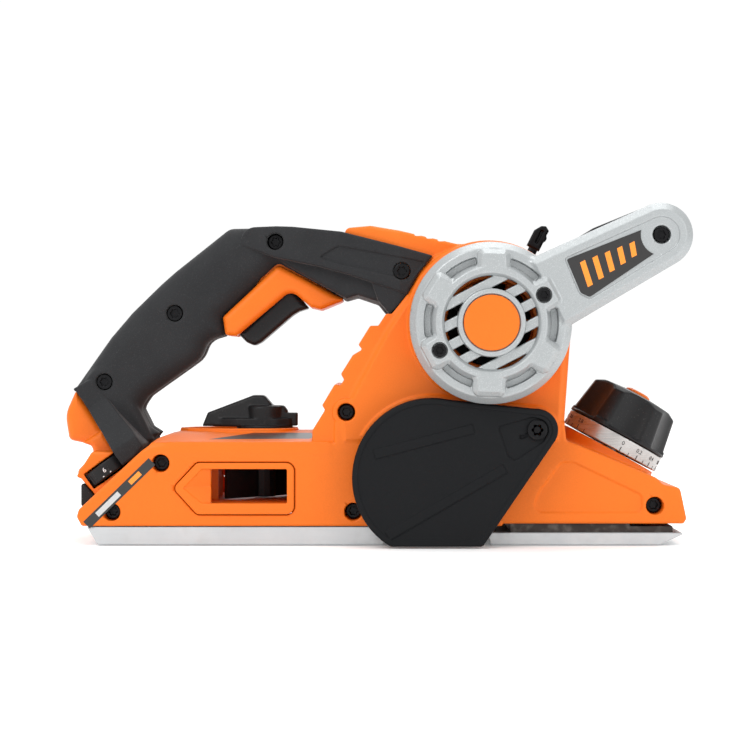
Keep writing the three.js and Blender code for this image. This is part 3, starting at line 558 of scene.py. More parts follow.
def soft_touch():
    """Rubbery overmoulding, dull and slightly patchy."""
    look = Look("soft_touch", (0.016, 0.0165, 0.018), 0.72)
    drift = look.noise(18, 3)
    look.tint(look.spread(drift, 0.35, 0.7, 0, 0.35), (0.028, 0.0285, 0.03))
    look.patches(3500, 0, 0.68, 0.78, 0.25, (0.1, 0.1, 0.1))
    look.gloss(look.spread(look.noise(60, 3), 0.3, 0.7, 0.62, 0.8))
    look.relief(look.noise(2400, 2), 0.06, 0.7)
    return look.done(Sheen_Weight=0.08, Sheen_Roughness=0.4, Specular_IOR_Level=0.2)


def black_plastic():
    return moulded("black_plastic", (0.008, 0.008, 0.0088), 0.4, 1800, 0.04, 0.06)


def guard_plastic():
    return moulded("guard_plastic", (0.008, 0.0085, 0.0095), 0.55, 1100, 0.09, shine=0.1)


def dark_rubber():
    return moulded("dark_rubber", (0.014, 0.014, 0.014), 0.7, 900, 0.06, 0.15)


def silver_paint():
    """Metallic paint on a casting: fine bright flakes over a slightly uneven skin."""
    look = Look("silver_paint", (0.37, 0.39, 0.395), 0.38, 0.5)
    look.patches(2600, 1, 0.56, 0.7, 0.6, (0.56, 0.58, 0.585))
    look.patches(1700, 2, 0.58, 0.75, 0.4, (0.26, 0.28, 0.29))
    look.gloss(look.spread(look.noise(2600, 1), 0.4, 0.7, 0.46, 0.3))
    look.relief(look.noise(900, 3), 0.05, 0.45)
    return look.done()


def machined_sole():
    """Machined aluminium: cutter lines along the sole and cloudy oxide."""
    look = Look("machined_sole", (0.5, 0.52, 0.53), 0.36, 0.7)
    look.patches(45, 5, 0.4, 0.72, 0.55, (0.64, 0.65, 0.65))
    look.patches(90, 6, 0.5, 0.75, 0.4, (0.33, 0.33, 0.32))
    lines = look.noise(60, 4, (1, 28, 28))
    look.gloss(look.spread(lines, 0.3, 0.7, 0.28, 0.5))
    look.relief(lines, 0.04, 0.35)
    return look.done()


def front_casting():
    """The front shoe: a machined sole below, dark and mottled above it."""
    look = Look("front_casting", (0.5, 0.52, 0.53), 0.38, 0.65)
    look.patches(50, 5, 0.4, 0.72, 0.5, (0.64, 0.65, 0.65))
    # Everything above the sole, from about 5.7 mm up, is coloured dark.
    above = look.spread(look.height(), 0.00565, 0.0059)
    look.tint(above, (0.04, 0.032, 0.028))
    mix = look.nodes.new("ShaderNodeMath")
    mix.operation = "MULTIPLY"
    look.links.new(above, mix.inputs[0])
    look.links.new(look.spread(look.noise(160, 4), 0.5, 0.75, 0, 0.6), mix.inputs[1])
    look.tint(mix.outputs[0], (0.2, 0.18, 0.165))
    look.gloss(look.spread(look.noise(300, 4), 0.3, 0.7, 0.35, 0.6))
    look.relief(look.noise(700, 4), 0.06, 0.5)
    return look.done()


def brushed_ring():
    """Turned steel: lines that run round the tilted knob axis."""
    look = Look("brushed_ring", (0.42, 0.41, 0.4), 0.32, 0.9)
    tilt = math.asin(joints["depth_knob_turn"]["axis"][0])
    lines = look.noise(70, 3, (1, 1, 60), -tilt)
    look.tint(look.spread(lines, 0.35, 0.7, 0, 0.6), (0.62, 0.6, 0.58))
    look.patches(120, 4, 0.55, 0.75, 0.35, (0.24, 0.23, 0.22))
    look.gloss(look.spread(lines, 0.3, 0.7, 0.24, 0.42))
    look.relief(lines, 0.02, 0.4)
    return look.done()


def plain_steel(name="steel", colour=(0.42, 0.42, 0.43)):
    look = Look(name, colour, 0.34, 0.95)
    look.patches(250, 4, 0.45, 0.75, 0.4, [c * 0.6 for c in colour])
    look.gloss(look.spread(look.noise(400, 3), 0.3, 0.7, 0.25, 0.48))
    look.relief(look.noise(1200, 2), 0.02, 0.3)
    return look.done()


def copper_windings():
    """Enamelled copper wire, wound along the armature."""
    look = Look("copper_windings", (0.55, 0.2, 0.07), 0.3, 0.8)
    wires = look.noise(300, 2, (6, 0.5, 6))
    look.tint(look.spread(wires, 0.4, 0.65), (0.28, 0.08, 0.03))
    look.relief(wires, 0.3, 0.8)
    return look.done()


def ink(name, colour, roughness=0.5):
    """Printed ink, a little worn."""
    look = Look(name, colour, roughness)
    look.patches(900, 4, 0.6, 0.8, 0.5, [c * 0.5 for c in colour])
    look.relief(look.noise(1500, 2), 0.02, 0.3)
    return look.done()


ORANGE = orange_plastic()
SOFT = soft_touch()
BLACK = black_plastic()
GUARD = guard_plastic()
RUBBER = dark_rubber()
SILVER = silver_paint()
SOLE = machined_sole()
FRONT_CASTING = front_casting()
RING = brushed_ring()
STEEL = plain_steel()
BLACK_STEEL = plain_steel("blackened_steel", (0.016, 0.016, 0.017))
COPPER = copper_windings()
WHITE_INK = ink("white_ink", (0.75, 0.76, 0.77))
BLACK_INK = ink("black_ink", (0.02, 0.02, 0.02))
LABEL_BLACK = ink("label_black", (0.018, 0.017, 0.017), 0.35)
LABEL_ORANGE = ink("label_orange", (0.85, 0.26, 0.02), 0.35)
LABEL_SILVER = ink("label_silver", (0.5, 0.5, 0.5), 0.3)


# ---------------------------------------------------------------- placing pieces


def piece(name, mesh, body, material, slot, *stands_for):
    """Shows a mesh as a piece that rides on a body, in place of CAD nodes where it names them."""
    shown = bpy.data.objects.new(name, mesh)
    bpy.context.scene.collection.objects.link(shown)
    mesh.materials.append(material)
    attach(shown, body)
    if stands_for:
        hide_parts(*stands_for)
    return shown


def moulding(name, clay, body, look, slot, *stands_for):
    """Shows a modelled solid as a piece."""
    return piece(name, clay.mesh(name), body, look, slot, *stands_for)


def slab_on(side, outline, inner, outer, edge=1.0, chamfer=0.0):
    """An X-Z outline pulled out along Y on one side of the centre plane."""
    start, end = one_side(side, inner, outer)
    return pulled(outline, start, end, edge, chamfer)


def axis_frame(joint, x_axis=(0, 1, 0)):
    """A frame in millimetres at a joint's pivot, with its local Z along the joint's axis."""
    up = Vector(joints[joint]["axis"]).normalized()
    side = Vector(x_axis).cross(up).normalized()
    turn = Matrix((side, up.cross(side), up)).transposed().to_4x4()
    return Matrix.Translation(joint_place(joint)) @ turn


KNOB_FRAME = axis_frame("depth_knob_turn")
DIAL_FRAME = axis_frame("speed_dial_turn")
WRENCH_TILT = math.asin(joints["wrench_pull"]["axis"][0])
WRENCH_FRAME = Matrix.Translation((82, 24, 147)) @ Matrix.Rotation(WRENCH_TILT, 4, "Y")


def on_arm(along, across, *radius):
    """A point given along and across the front arm, seen from the motor's centre."""
    x = MOTOR_X + along * math.cos(ARM_ANGLE) - across * math.sin(ARM_ANGLE)
    z = MOTOR_Z + along * math.sin(ARM_ANGLE) + across * math.cos(ARM_ANGLE)
    return (x, z, *radius)


def slot_round_motor(angle, inner, outer, half_span):
    """A slot curved round the motor's axis, between two radii."""
    first, last = angle - half_span, angle + half_span
    return [*arc(*MOTOR, inner, first, last), *arc(*MOTOR, outer, last, first)]


def around_motor(angle, corners):
    """Corners given along and across a spoke from the motor's centre."""
    turn = math.radians(angle)
    return [
        (
            MOTOR_X + along * math.cos(turn) - across * math.sin(turn),
            MOTOR_Z + along * math.sin(turn) + across * math.cos(turn),
            *radius,
        )
        for along, across, *radius in corners
    ]


COVER_SCREWS = [around_motor(angle, [(27.8, 0)])[0] for angle in (28, 208)]


def handle_half(x, z):
    """The handle widens in plan towards the motor."""
    return np.interp(x, [-62, -16, 12], [19, 33, 45]).astype(np.float32) + 0 * z


def narrower(face, by):
    """A face that lies that much nearer the centre plane."""

    def lower(x, z):
        return face(x, z) - by

    return lower


# ---------------------------------------------------------------- housing

LOWER = [
    (-142.5, BODY_FLOOR, 1), (-145, 13.5, 2), (-144, 17, 2), (-112.5, 46.5, 12), (-100, 49.6, 20),
    (-20, 50), (-20, 60), (92, 60), (93, 50.5, 2), (98.6, 48.6, 3), (136.6, 32.6, 3),
    (139.9, 29.4, 3), (148.2, 27.7, 3), (151.4, 12.5, 2), (149.8, 10.2), (62, 10.2), (62, BODY_FLOOR),
]
CROWN = [(-113, 44), (-107, 51.6, 8), (-97, 53.9, 12), (-22, 54), (-22, 44)]
MOTOR_WALL = [
    (-30.5, 50), (-30.5, 55.5, 0.6), (-24.3, 65.4, 0.6), (-25.7, 67.7, 0.5), (-19.6, 77.9, 0.6),
    (-16.9, 77.4, 0.6), (-15, 80.1, 0.6), (-16.6, 82.8, 0.6), (-10.8, 92.1, 0.6), (-6.2, 94.8, 0.6),
    (-8.1, 97.1, 0.6), (-2.3, 106.4, 0.6), (1.6, 106.4, 0.6), (5.4, 112.2, 0.6), (8.2, 112.2),
    (16.3, 121.6), (21.7, 131.8), (28.8, 140.2), (36, 143), (92, 130), (95.3, 108.4, 6), (91, 50),
]
MOTOR_FLANK = [
    (-17, 48), (-18.5, 62), (-9, 80), (4, 104), (13, 118), (24, 134), (36, 143), (92, 130),
    (95.3, 108.4, 6), (91, 48),
]
SHOULDER = [
    (-15.5, 151.2, 1), (-14, 154.9, 3), (-2, 155.6, 4), (12.2, 152.8), (40, 146.3), (48, 146.3),
    (48, 115), (20, 118), (10, 128), (-13.6, 140),
]
CHEVRON = [
    (-48.4, 137.3, 3), (-76.3, 111.2, 2), (-74.9, 102, 2), (-69.3, 101.5, 1.5), (-42, 124.7, 5),
    (-32.1, 116, 1), (-26.9, 114.8, 2), (-14.6, 119.9, 1),
]
WEB = [(-60, 127), (-49, 143), (12, 139), (12, 122), (-20, 124)]
REAR_STUB = [
    (-149.9, 74.9, 1), (-155.4, 62.5, 14), (-153.4, 49.6, 3), (-142, 47.3, 2), (-136, 44),
    (-124.2, 37.6),
]
REAR_NECK = [
    (-146, 48.3), (-141.5, 46.8, 2), (-140.5, 43.2, 2), (-149.2, 33.6, 3), (-147.6, 31.2, 1),
    (-145, 31.2), (-137.6, 22.6), (-112, 20), (-118, 41), (-124.2, 37.6), (-136, 55),
]
DIAL_FLANK = [
    (-145, 31.2), (-147.6, 32, 1), (-139.6, 44.6, 2), (-129, 44.5, 1), (-124.2, 37.6), (-113, 46),
    (-112, 20), (-137.6, 22.6),
]
DIAL_WINDOW = [(-142.4, 32.9, 0.6), (-127.5, 43.6, 0.6), (-123.6, 38.5, 0.6), (-137.7, 27.1, 0.6)]
# The low rim round the chip selector, seen from above.
RIM = mirrored([(-98.5, -3, 2), (-94, -10, 3), (-72, -20, 8), (-39, -20, 16)])
RIM_INSIDE = mirrored([(-96, -2, 1), (-92, -8, 3), (-72, -17.6, 7), (-41, -17.6, 14)])
PORT = [(-98, 27.5, 3), (-86.4, 39.8, 3), (-39.2, 39.8, 4), (-39.2, 14.8, 4), (-86.4, 14.8, 3)]
PORT_OPENING = [
    (-93, 27.5, 0.5), (-84.1, 36.8, 1), (-42.7, 36.8, 0.6), (-42.7, 20.2, 0.6), (-84.1, 20.2, 1),
]
FRONT_PANEL = [
    (80, 26, 3), (90.5, 40, 4), (96.3, 40, 4), (129.4, 24.2, 3), (129.4, 15.8, 3), (75.5, 15.8, 4),
]


def crown_half(x, z):
    """The deck rises gently from the flank to its crown."""
    return np.clip(DECK_HALF - (z - DECK_EDGE) * DECK_SLOPE, 12, DECK_HALF) + 0 * x


GUARD_BELLY = (27.3, 33.2, 38.3)  # centre and radius of the guard's rear curve
GUARD_TURNS = (0, 7, 14, 21)  # degrees of its swing at which room is cut for it


def guard_outline(by=0.0):
    """The side guard's flat-bottomed teardrop, grown all round."""
    x, z, radius = GUARD_BELLY
    return [
        (7.5, 0.5 - by), (51.5 + by / 2, 0.5 - by, 2), *arc(*GUARD_PIVOT, 10 + by, -35, 95),
        (35.8, 70.6 + by), *arc(x, z, radius + by, 85, 235),
    ]


def guard_ridge():
    """The raised lip on the housing that looks out above the guard."""
    x, z, radius = GUARD_BELLY
    return [
        (20, 40), *arc(*GUARD_PIVOT, 11.6, -30, 95), (35.8, 72.2), *arc(x, z, radius + 1.6, 85, 150),
    ]


def swung_guard(degrees):
    """The guard's outline with a little room round it, part of the way through its swing."""
    outline = guard_outline(1)
    turn = Matrix.Rotation(-math.radians(degrees), 2)
    pivot = Vector(GUARD_PIVOT)
    return [tuple(turn @ (Vector(point) - pivot) + pivot) for point in rounded(outline)]


def add_housing_blocks(clay, side):
    """The outer form of one half."""
    clay.add(slab_on(side, LOWER, PAST_CENTRE, BODY_HALF, 1.6))
    clay.add(slab_on(side, CROWN, PAST_CENTRE, crown_half, 0.6), 2)
    clay.add(raised(RIM, 49, 55.6, 0.7), 0.8)
    clay.cut(raised(RIM_INSIDE, 54.0, 60, 0.3), 0.5)
    clay.add(slab_on(side, MOTOR_WALL, PAST_CENTRE, 43.6, 0.4))
    clay.add(slab_on(side, MOTOR_FLANK, PAST_CENTRE, MOTOR_HALF, 1, 3.2), 1.0)
    clay.add(rod_on(side, *MOTOR, 40.5, PAST_CENTRE, MOTOR_HALF, 1.5), 0.6)
    clay.add(slab_on(side, SHOULDER, PAST_CENTRE, narrower(handle_half, 3.3), 1.6), 0.8)
    clay.add(slab_on(side, CHEVRON, PAST_CENTRE, 16.5, 3.5))
    clay.add(slab_on(side, WEB, PAST_CENTRE, 11, 1))
    clay.add(slab_on(side, REAR_STUB, PAST_CENTRE, 15, 4))
    clay.add(slab_on(side, REAR_NECK, PAST_CENTRE, 19, 3), 1)
    clay.add(slab_on(side, DIAL_FLANK, PAST_CENTRE, 30, 1.6), 0.8)
    clay.add(lathed(KNOB_FRAME, [(0, -14), (25.2, -14), (25.2, -0.4, 0.5), (0, -0.4)]), 2)
    if side == RIGHT:
        clay.add(pulled(guard_ridge(), -46.9, -40, 0.8), 0.6)
        clay.add(rod(*MOTOR, 39, COVER_BACK + 0.3, -43, 0.8))


def cut_housing_hollows(clay, side):
    """The rooms for the drum, the motor, the chip duct, the switch and the shoes."""
    lower = [
        (-137, 6), (-139, 15), (-109.5, 43.5), (-100, 45.5), (-33, 46), (-33, 42), (-6, 42), (-6, 6),
    ]
    front = [(59, 6), (64, 24), (100, 33), (134, 23), (147.5, 22), (147.5, 6)]
    rear = [(-146.8, 52.5), (-139, 50), (-134, 41), (-128, 41), (-139, 66), (-146.8, 71)]
    switch = [(-72.6, 92), (-73.3, 110), (-50.5, 131.5), (-40, 131.5), (-30, 113), (-45, 92)]
    for outline, half in ((lower, 41), (front, 43), (rear, 11), (switch, 9.5)):
        clay.cut(slab_on(side, outline, PAST_CENTRE, half, 0.5))
    near, far = sorted((side * PAST_CENTRE, side * 42.5))
    clay.cut(rod(*DRUM, 31, near, far))
    clay.cut(brick((DRUM_X - 31, near, 2), (60, far, DRUM_Z)))
    clay.cut(rod_on(side, *MOTOR, 36, PAST_CENTRE, 42 if side == RIGHT else 34))


def add_screw_places(clay, side):
    """A boss inside and a deep round recess outside for every body screw."""
    for x, z in BODY_SCREWS:
        half = MOTOR_HALF if z > 60 else BODY_HALF
        clay.add(rod_on(side, x, z, 6.8, PAST_CENTRE, half - 1), 0.5)
        if side == RIGHT:
            clay.cut(rod(x, z, 4.3, -half - 2, -half + 9, 0.2), 0.5)
        clay.cut(rod_on(side, x, z, 2.4, PAST_CENTRE, half - 4))


STEP_STARTS = (19.4, 25, 30.6)  # X where each low step in the shoulder's top begins
STEP_LENGTH = 2.8
SHOULDER_FALL = 0.2346  # how far the steps' floors drop for each millimetre forward


def cut_outer_details(clay, side):
    """The port's seat, the front panel, the shoulder's steps, and the holes for shafts and cable."""
    clay.cut(slab_on(side, grown(PORT, 0.35), BODY_HALF - 4, BODY_HALF + 2, 0.2), 0.3)
    clay.cut(slab_on(side, FRONT_PANEL, BODY_HALF - 0.9, BODY_HALF + 2, 0.5), 1.2)
    for x in STEP_STARTS:
        floor = 151.9 - SHOULDER_FALL * (x - 12.2)
        clay.cut(brick((x, -60, floor), (x + STEP_LENGTH, 60, 160), 0.2))
    clay.cut(raised(circle(SELECTOR_X, 0, 6.6), 40, 60, 0.3))
    clay.cut(disc(KNOB_FRAME, 4.6, -30, 2))
    clay.cut(disc(KNOB_FRAME, 27, 0, 30))
    inlet = Matrix.Translation((-170, 0, 60)) @ Matrix.Rotation(math.pi / 2, 4, "Y")
    clay.cut(disc(inlet, 6.2, -5, 24), 0.6)
    clay.cut(brick((-8, -15.3, 23.1), (2, 15.3, 41.3)))


def cut_dial_room(clay):
    """The room for the speed dial and its axle, and the window that shows its rim."""
    clay.cut(disc(DIAL_FRAME, 14.4, -4.4, 4.4))
    clay.cut(disc(DIAL_FRAME, 3, -7.2, 7.2))
    clay.cut(pulled(DIAL_WINDOW, -34, -26.5, 0.3), 0.5)


def finish_right_half(clay):
    """The neck behind the vent cover, the guard's sweep and its pivot boss."""
    for degrees in GUARD_TURNS:
        clay.cut(pulled(swung_guard(degrees), COVER_BACK - 1, -MOTOR_HALF - 1, 0.3))
    clay.cut(rod(*MOTOR, 21, COVER_BACK - 2, -54))
    clay.cut(rod(*MOTOR, 11.3, -49.6, -40))
    clay.cut(rod(*MOTOR, 6.5, -56, -40))
    for k in range(LOBES):
        clay.cut(pulled(slot_round_motor(60 * k + 30, 12.8, 20.4, 24), -56, -40, 0.5))
    for x, z in COVER_SCREWS:
        clay.cut(rod(x, z, 2.4, COVER_BACK - 2, -50))
    clay.add(rod(*DRUM, 15, -44, -36.6))
    clay.cut(rod(*DRUM, 11.3, -43.8, -30))
    clay.add(rod(*GUARD_PIVOT, 9.5, -46.9, -44))
    clay.cut(rod(*GUARD_PIVOT, 2.4, -50, -30))


def finish_left_half(clay):
    """The drum's bearing hub, the motor's bearing seat and the wrench's socket."""
    clay.add(rod(*DRUM, 15, 42, 52, 0.8))
    clay.cut(rod(*DRUM, 11.3, 43, 54))
    clay.cut(rod(*DRUM, 7.5, 38, 45))
    clay.cut(rod(*MOTOR, 11.3, 33, 41.6))
    clay.cut(rod(*MOTOR, 6.5, 40, 50))
    clay.cut(disc(WRENCH_FRAME, 3.3, -24, 6))


def make_housing(side):
    """One orange half of the body."""
    reach = 62.5 if side == RIGHT else 52.5
    ends = sorted((0, side * reach))
    clay = Clay((-156, ends[0], 9), (152, ends[1], 156))
    add_housing_blocks(clay, side)
    cut_housing_hollows(clay, side)
    add_screw_places(clay, side)
    cut_outer_details(clay, side)
    if side == RIGHT:
        finish_right_half(clay)
        cut_dial_room(clay)
    else:
        finish_left_half(clay)
    clay.keep_side(side)
    name = SIDE_NAMES[side]
    moulding(f"shell_{name}", clay, "housing", ORANGE, "body_orange", f"housing_{name}")


# ---------------------------------------------------------------- rear handle

GRIP = [
    (-150.6, 75.3), (-128, 107.5, 90), (-104, 131, 90), (-73, 155.7, 7), (-45, 156.3, 60),
    (-12, 151), (-6, 134), (-14.2, 120), (-48.4, 137.8, 3), (-76.8, 111.4, 2),
    (-75.3, 101.9, 1), (-83.5, 99.5, 8), (-86.9, 90.4, 12), (-113.5, 71.5, 6), (-118.6, 64, 8),
    (-115.2, 57.5, 6), (-108.2, 53.2), (-112.2, 48.2), (-121, 38.9), (-124, 38),
]
# The foot along the orange block, and the facet beside it.
FOOT = [
    (-150.6, 75.3), (-141.5, 80.5, 2), (-126.5, 62.5, 6), (-112.6, 48.4, 1), (-121.2, 38.4), (-124, 38),
]
FACET = [(-145, 79), (-138, 92, 12), (-129, 87, 12), (-110.5, 50), (-121, 40)]
SIDE_PLATE = [
    (-73, 155.7, 7), (-45, 156.3, 60), (-16.5, 152.9, 1), (28.2, 140.4, 0.6), (21.2, 131.8),
    (15.8, 121.6, 0.6), (-13.3, 131.8), (-27.4, 135.8), (-50.2, 140.8), (-66.7, 146.7, 2),
]
UNDER_PLATE = [
    (-50, 142), (-10, 134), (12, 126), (2.4, 118.1, 0.5), (-8.6, 121.7), (-14.2, 120, 0.5), (-44, 137),
]
PLATE_TIP = [(-2, 129), (15.8, 121.6), (7.4, 111.8, 0.5), (1.4, 119)]
PLATE_RECESS = [
    (-27.4, 140.6, 0.6), (-18, 145.8, 0.6), (24.4, 137.2, 0.6), (17, 128.6, 0.6), (-24.3, 139, 0.6),
]
HANDLE_HOLLOW = [
    (-141, 73), (-125, 100), (-100, 125), (-72, 149), (-58, 151), (-56, 136), (-80, 112), (-80, 104),
    (-92, 94), (-120, 73), (-121, 58), (-113, 50), (-121, 44),
]


def foot_half(x, z):
    """The foot flares down along the orange block, and falls away from its edge."""
    down = 0.559 * (x + 146.2) - 0.83 * (z - 75.3)
    away = 0.83 * (x + 146.2) + 0.559 * (z - 75.3)
    return 19 + 16 * np.clip((down - 10) / 25, 0, 1) * np.clip((17 - away) / 6, 0, 1)


LOCK_PLACE = (-86, 121)  # X and Z of the lock button


def add_grip_blocks(clay, side):
    """The soft handle's outer form: the grip, its foot and the plate on its flank."""
    clay.add(slab_on(side, GRIP, PAST_CENTRE, 18.2, 10))
    clay.add(slab_on(side, FACET, PAST_CENTRE, 18.1, 4), 1.0)
    clay.add(slab_on(side, FOOT, PAST_CENTRE, foot_half, 1.2), 0.5)
    clay.add(slab_on(side, UNDER_PLATE, PAST_CENTRE, narrower(handle_half, 6), 2), 2)
    clay.add(slab_on(side, PLATE_TIP, 10, narrower(handle_half, 1.5), 0.8), 0.5)
    clay.add(slab_on(side, SIDE_PLATE, PAST_CENTRE, handle_half, 1.0), 0.4)


def cut_grip_details(clay, side):
    """The hollow inside, the screws' places and the recess in the flank's plate."""
    clay.cut(slab_on(side, HANDLE_HOLLOW, PAST_CENTRE, 13.5, 0.5))
    for x, z, half, recess in HANDLE_SCREWS:
        if x < 0:
            clay.add(rod_on(side, x, z, 6.8, PAST_CENTRE, half - 3), 0.5)
        if side == RIGHT:
            clay.cut(rod(x, z, 4.2, -half - 6, recess - half, 0.2), 0.6)
        clay.cut(rod_on(side, x, z, 2, PAST_CENTRE, half - 4))
    floor, outside = narrower(handle_half, 1.0), narrower(handle_half, -5)
    clay.cut(slab_on(side, PLATE_RECESS, floor, outside, 0.3), 0.4)


def cut_orange_from_grip(clay, side):
    """The grip stops just short of the orange mouldings that show through it."""
    for outline, gap, outer, edge in (
        (CHEVRON, 0.25, 30, 0.3),
        (WEB, 0.3, 11.3, 0.3),
        (REAR_STUB, 0.25, 30, 0.3),
        (REAR_NECK, 0.25, 40, 0.3),
        (DIAL_FLANK, 0.25, 40, 0.3),
        (LOWER, 0.25, 50, 0.3),
        (SHOULDER, 0.25, narrower(handle_half, 3.0), 0.5),
        (MOTOR_WALL, 0.2, 60, 0.3),
    ):
        clay.cut(slab_on(side, grown(outline, gap), PAST_CENTRE, outer, edge))
    clay.cut(disc(DIAL_FRAME, 14.4, -4.4, 4.4))


def make_grip(side):
    """One dark half of the rear handle."""
    ends = sorted((0, side * 46))
    clay = Clay((-152, ends[0], 36), (30, ends[1], 158))
    add_grip_blocks(clay, side)
    cut_grip_details(clay, side)
    cut_orange_from_grip(clay, side)
    if side == LEFT:
        clay.cut(rod(*LOCK_PLACE, 5.9, 10, 25))
    clay.keep_side(side)
    name = SIDE_NAMES[side]
    moulding(f"handle_{name}", clay, "housing", SOFT, "soft_grip", f"grip_{name}")


TRIGGER = [
    (-69.1, 103, 1), (-64.8, 98.6, 4), (-60.8, 96.8, 3), (-57.2, 98.6, 5), (-41.5, 112.2, 5),
    (-38.3, 114.2, 3), (-33.2, 115.8, 0.6), (-41.5, 126, 1), (-45.6, 125.2, 1),
]


def make_trigger():
    clay = Clay((-70, -8, 96), (-33, 8, 127), 0.35)
    clay.add(pulled(TRIGGER, -8, 8, 3))
    moulding("trigger_button", clay, "trigger", BLACK, "black_plastic", "trigger")


def make_lock_button():
    """A push button with a dished face and a collar that keeps it in the handle."""
    clay = Clay((-94, 10, 113), (-78, 22, 129), 0.3)
    clay.add(rod(*LOCK_PLACE, 5.5, 11, 21.5, 1.2))
    clay.add(rod(*LOCK_PLACE, 7, 10.5, 13.5, 0.3))
    clay.cut(spun([(0, 21.2), (2.5, 21.2), (4, 22.5), (0, 24)], *LOCK_PLACE), 0.6)
    moulding("lock_pin", clay, "lock", BLACK, "black_plastic", "lock_button")


# ---------------------------------------------------------------- vent cover and front handle

VENT_INNER = 16.0
VENT_OUTER = 22.3
BAR_STEP = 8.8
BAR_HALF = 2.4
BAR_SHIFT = -0.6  # the middle bar's offset from the arm's line
BAR_FACES = (-71.4, -66.5)  # Y of the bars' front and back

# Profiles of (radius, y) about the motor's axis.
COVER_DISH = [
    (0, COVER_BACK), (COVER_RADIUS, COVER_BACK, 0.4), (COVER_RADIUS, -65.4, 0.8), (35.4, -69.6, 1.2),
    (0, -69.6),
]
COVER_RING = [
    (0, -66), (28.2, -66), (28.2, -70.6, 0.8), (26.2, -74, 0.7), (23.6, -74, 0.6),
    (22.4, -72.6, 0.4), (0, -72.6),
]
COVER_HUB = [(0, -66), (16.4, -66), (16.1, -74, 0.7), (13.7, -74, 0.3), (13.6, -72.6), (0, -72.6)]


def arm_bolt_arc(radius):
    """The outer half of a circle round the arm's bolt."""
    angle = math.degrees(ARM_ANGLE)
    return arc(*on_arm(ARM_LENGTH, 0), radius, angle - 88, angle + 88)


def arm_outline(start, width):
    """The arm from its root, with its half width there, to its round end."""
    return [on_arm(start, width), on_arm(start, -width), *arm_bolt_arc(ARM_END)]


def add_cover_form(clay):
    """The cover's dish and arm, with a raised ring and lobes round the vent."""
    clay.add(spun(COVER_DISH, *MOTOR))
    clay.add(pulled(arm_outline(28, 18.6), -72, -64, 1, 3.4), 1.2)
    clay.add(spun(COVER_RING, *MOTOR), 0.8)
    lobe = mirrored([(24, -8.4), (33.2, -7.6, 1.5), (34.8, -5.6, 1.5)])
    for k in range(LOBES):
        clay.add(pulled(around_motor(28 + 60 * k, lobe), -74, -66, 1, 2.4), 0.5)


def cut_cover_vents(clay):
    """The open vent with its slanted bars and hub, and a shallow slot between each two lobes."""
    well = [(VENT_INNER, -80), (VENT_INNER, -60), (VENT_OUTER, -60), (VENT_OUTER, -80)]
    clay.cut(spun(well, *MOTOR), 0.4)
    clay.add(spun(COVER_HUB, *MOTOR))
    front, back = BAR_FACES
    reach = VENT_OUTER + 0.6
    inside = spun([(14, back), (14, front), (reach, front), (reach, back)], *MOTOR)
    for k in range(-2, 3):
        low, high = BAR_STEP * k + BAR_SHIFT - BAR_HALF, BAR_STEP * k + BAR_SHIFT + BAR_HALF
        bar = [on_arm(-26, low), on_arm(26, low), on_arm(26, high), on_arm(-26, high)]
        clay.add(both(pulled(bar, front, back, 0.7), inside), 0.3)
    for k in range(LOBES):
        clay.cut(pulled(slot_round_motor(58 + 60 * k, 28.4, 31.8, 14.5), -80, -65.8, 0.3), 0.3)


# The recess in the arm's face runs round its bolt; the label in it stops short of the bolt.
ARM_RECESS = [
    on_arm(44.4, 11.1, 1.5), on_arm(43, -7, 3), on_arm(46.3, -11.4, 2),
    *arm_bolt_arc(8.4),
]
LABEL_GAP = 9.6  # between the label and the bolt's centre
ARM_LABEL = [on_arm(44.8, 10.7, 1.5), on_arm(43.4, -7, 3), on_arm(46.5, -11, 2)] + [
    on_arm(ARM_LENGTH - LABEL_GAP * math.cos(turn), LABEL_GAP * math.sin(turn))
    for turn in map(math.radians, range(-44, 45, 8))
]


def make_vent_cover():
    """The silver casting: the motor's vent cover and the right arm in one."""
    clay = Clay((15, -76.5, 67), (151, -62, 165), 0.4)
    add_cover_form(clay)
    cut_cover_vents(clay)
    for x, z in COVER_SCREWS:
        clay.cut(rod(x, z, 3.7, -80, -72.4, 0.3), 0.5)
        clay.cut(rod(x, z, 2.2, -80, -60))
    clay.cut(pulled(ARM_RECESS, -80, -71.2, 0.2), 0.3)
    end = on_arm(ARM_LENGTH, 0)
    clay.cut(rod(*end, 4.3, -80, -67.4, 0.3), 0.6)
    clay.cut(rod(*end, 2.2, -80, -60))
    clay.cut(spun([(0, -58), (0, -64.2), (36, -64.2, 1), (36, -58)], *MOTOR))
    moulding("vent_cover", clay, "housing", SILVER, "silver_casting", "fan_cover")


def make_cover_badge():
    badge = Clay((40, -74.5, 92), (70, -72, 122), 0.3)
    badge.add(spun([(0, -72.6), (13.2, -72.6), (13.2, -73.7, 0.4), (0, -73.9)], *MOTOR))
    moulding("badge", badge, "housing", ORANGE, "body_orange", "cover_badge")


def make_left_arm():
    clay = Clay((40, 46, 84), (151, 55, 165), 0.5)
    clay.add(pulled(arm_outline(21, 16), 46.3, 54.3, 1, 2))
    clay.cut(rod(*MOTOR, 19.5, 40, 60))
    clay.cut(pulled(ARM_RECESS, 53.5, 60, 0.2), 0.3)
    end = on_arm(ARM_LENGTH, 0)
    clay.cut(rod(*end, 4.3, 51, 60, 0.3), 0.6)
    clay.cut(rod(*end, 2.2, 40, 60))
    moulding("arm_left", clay, "housing", SILVER, "silver_casting", "handle_arm_left")


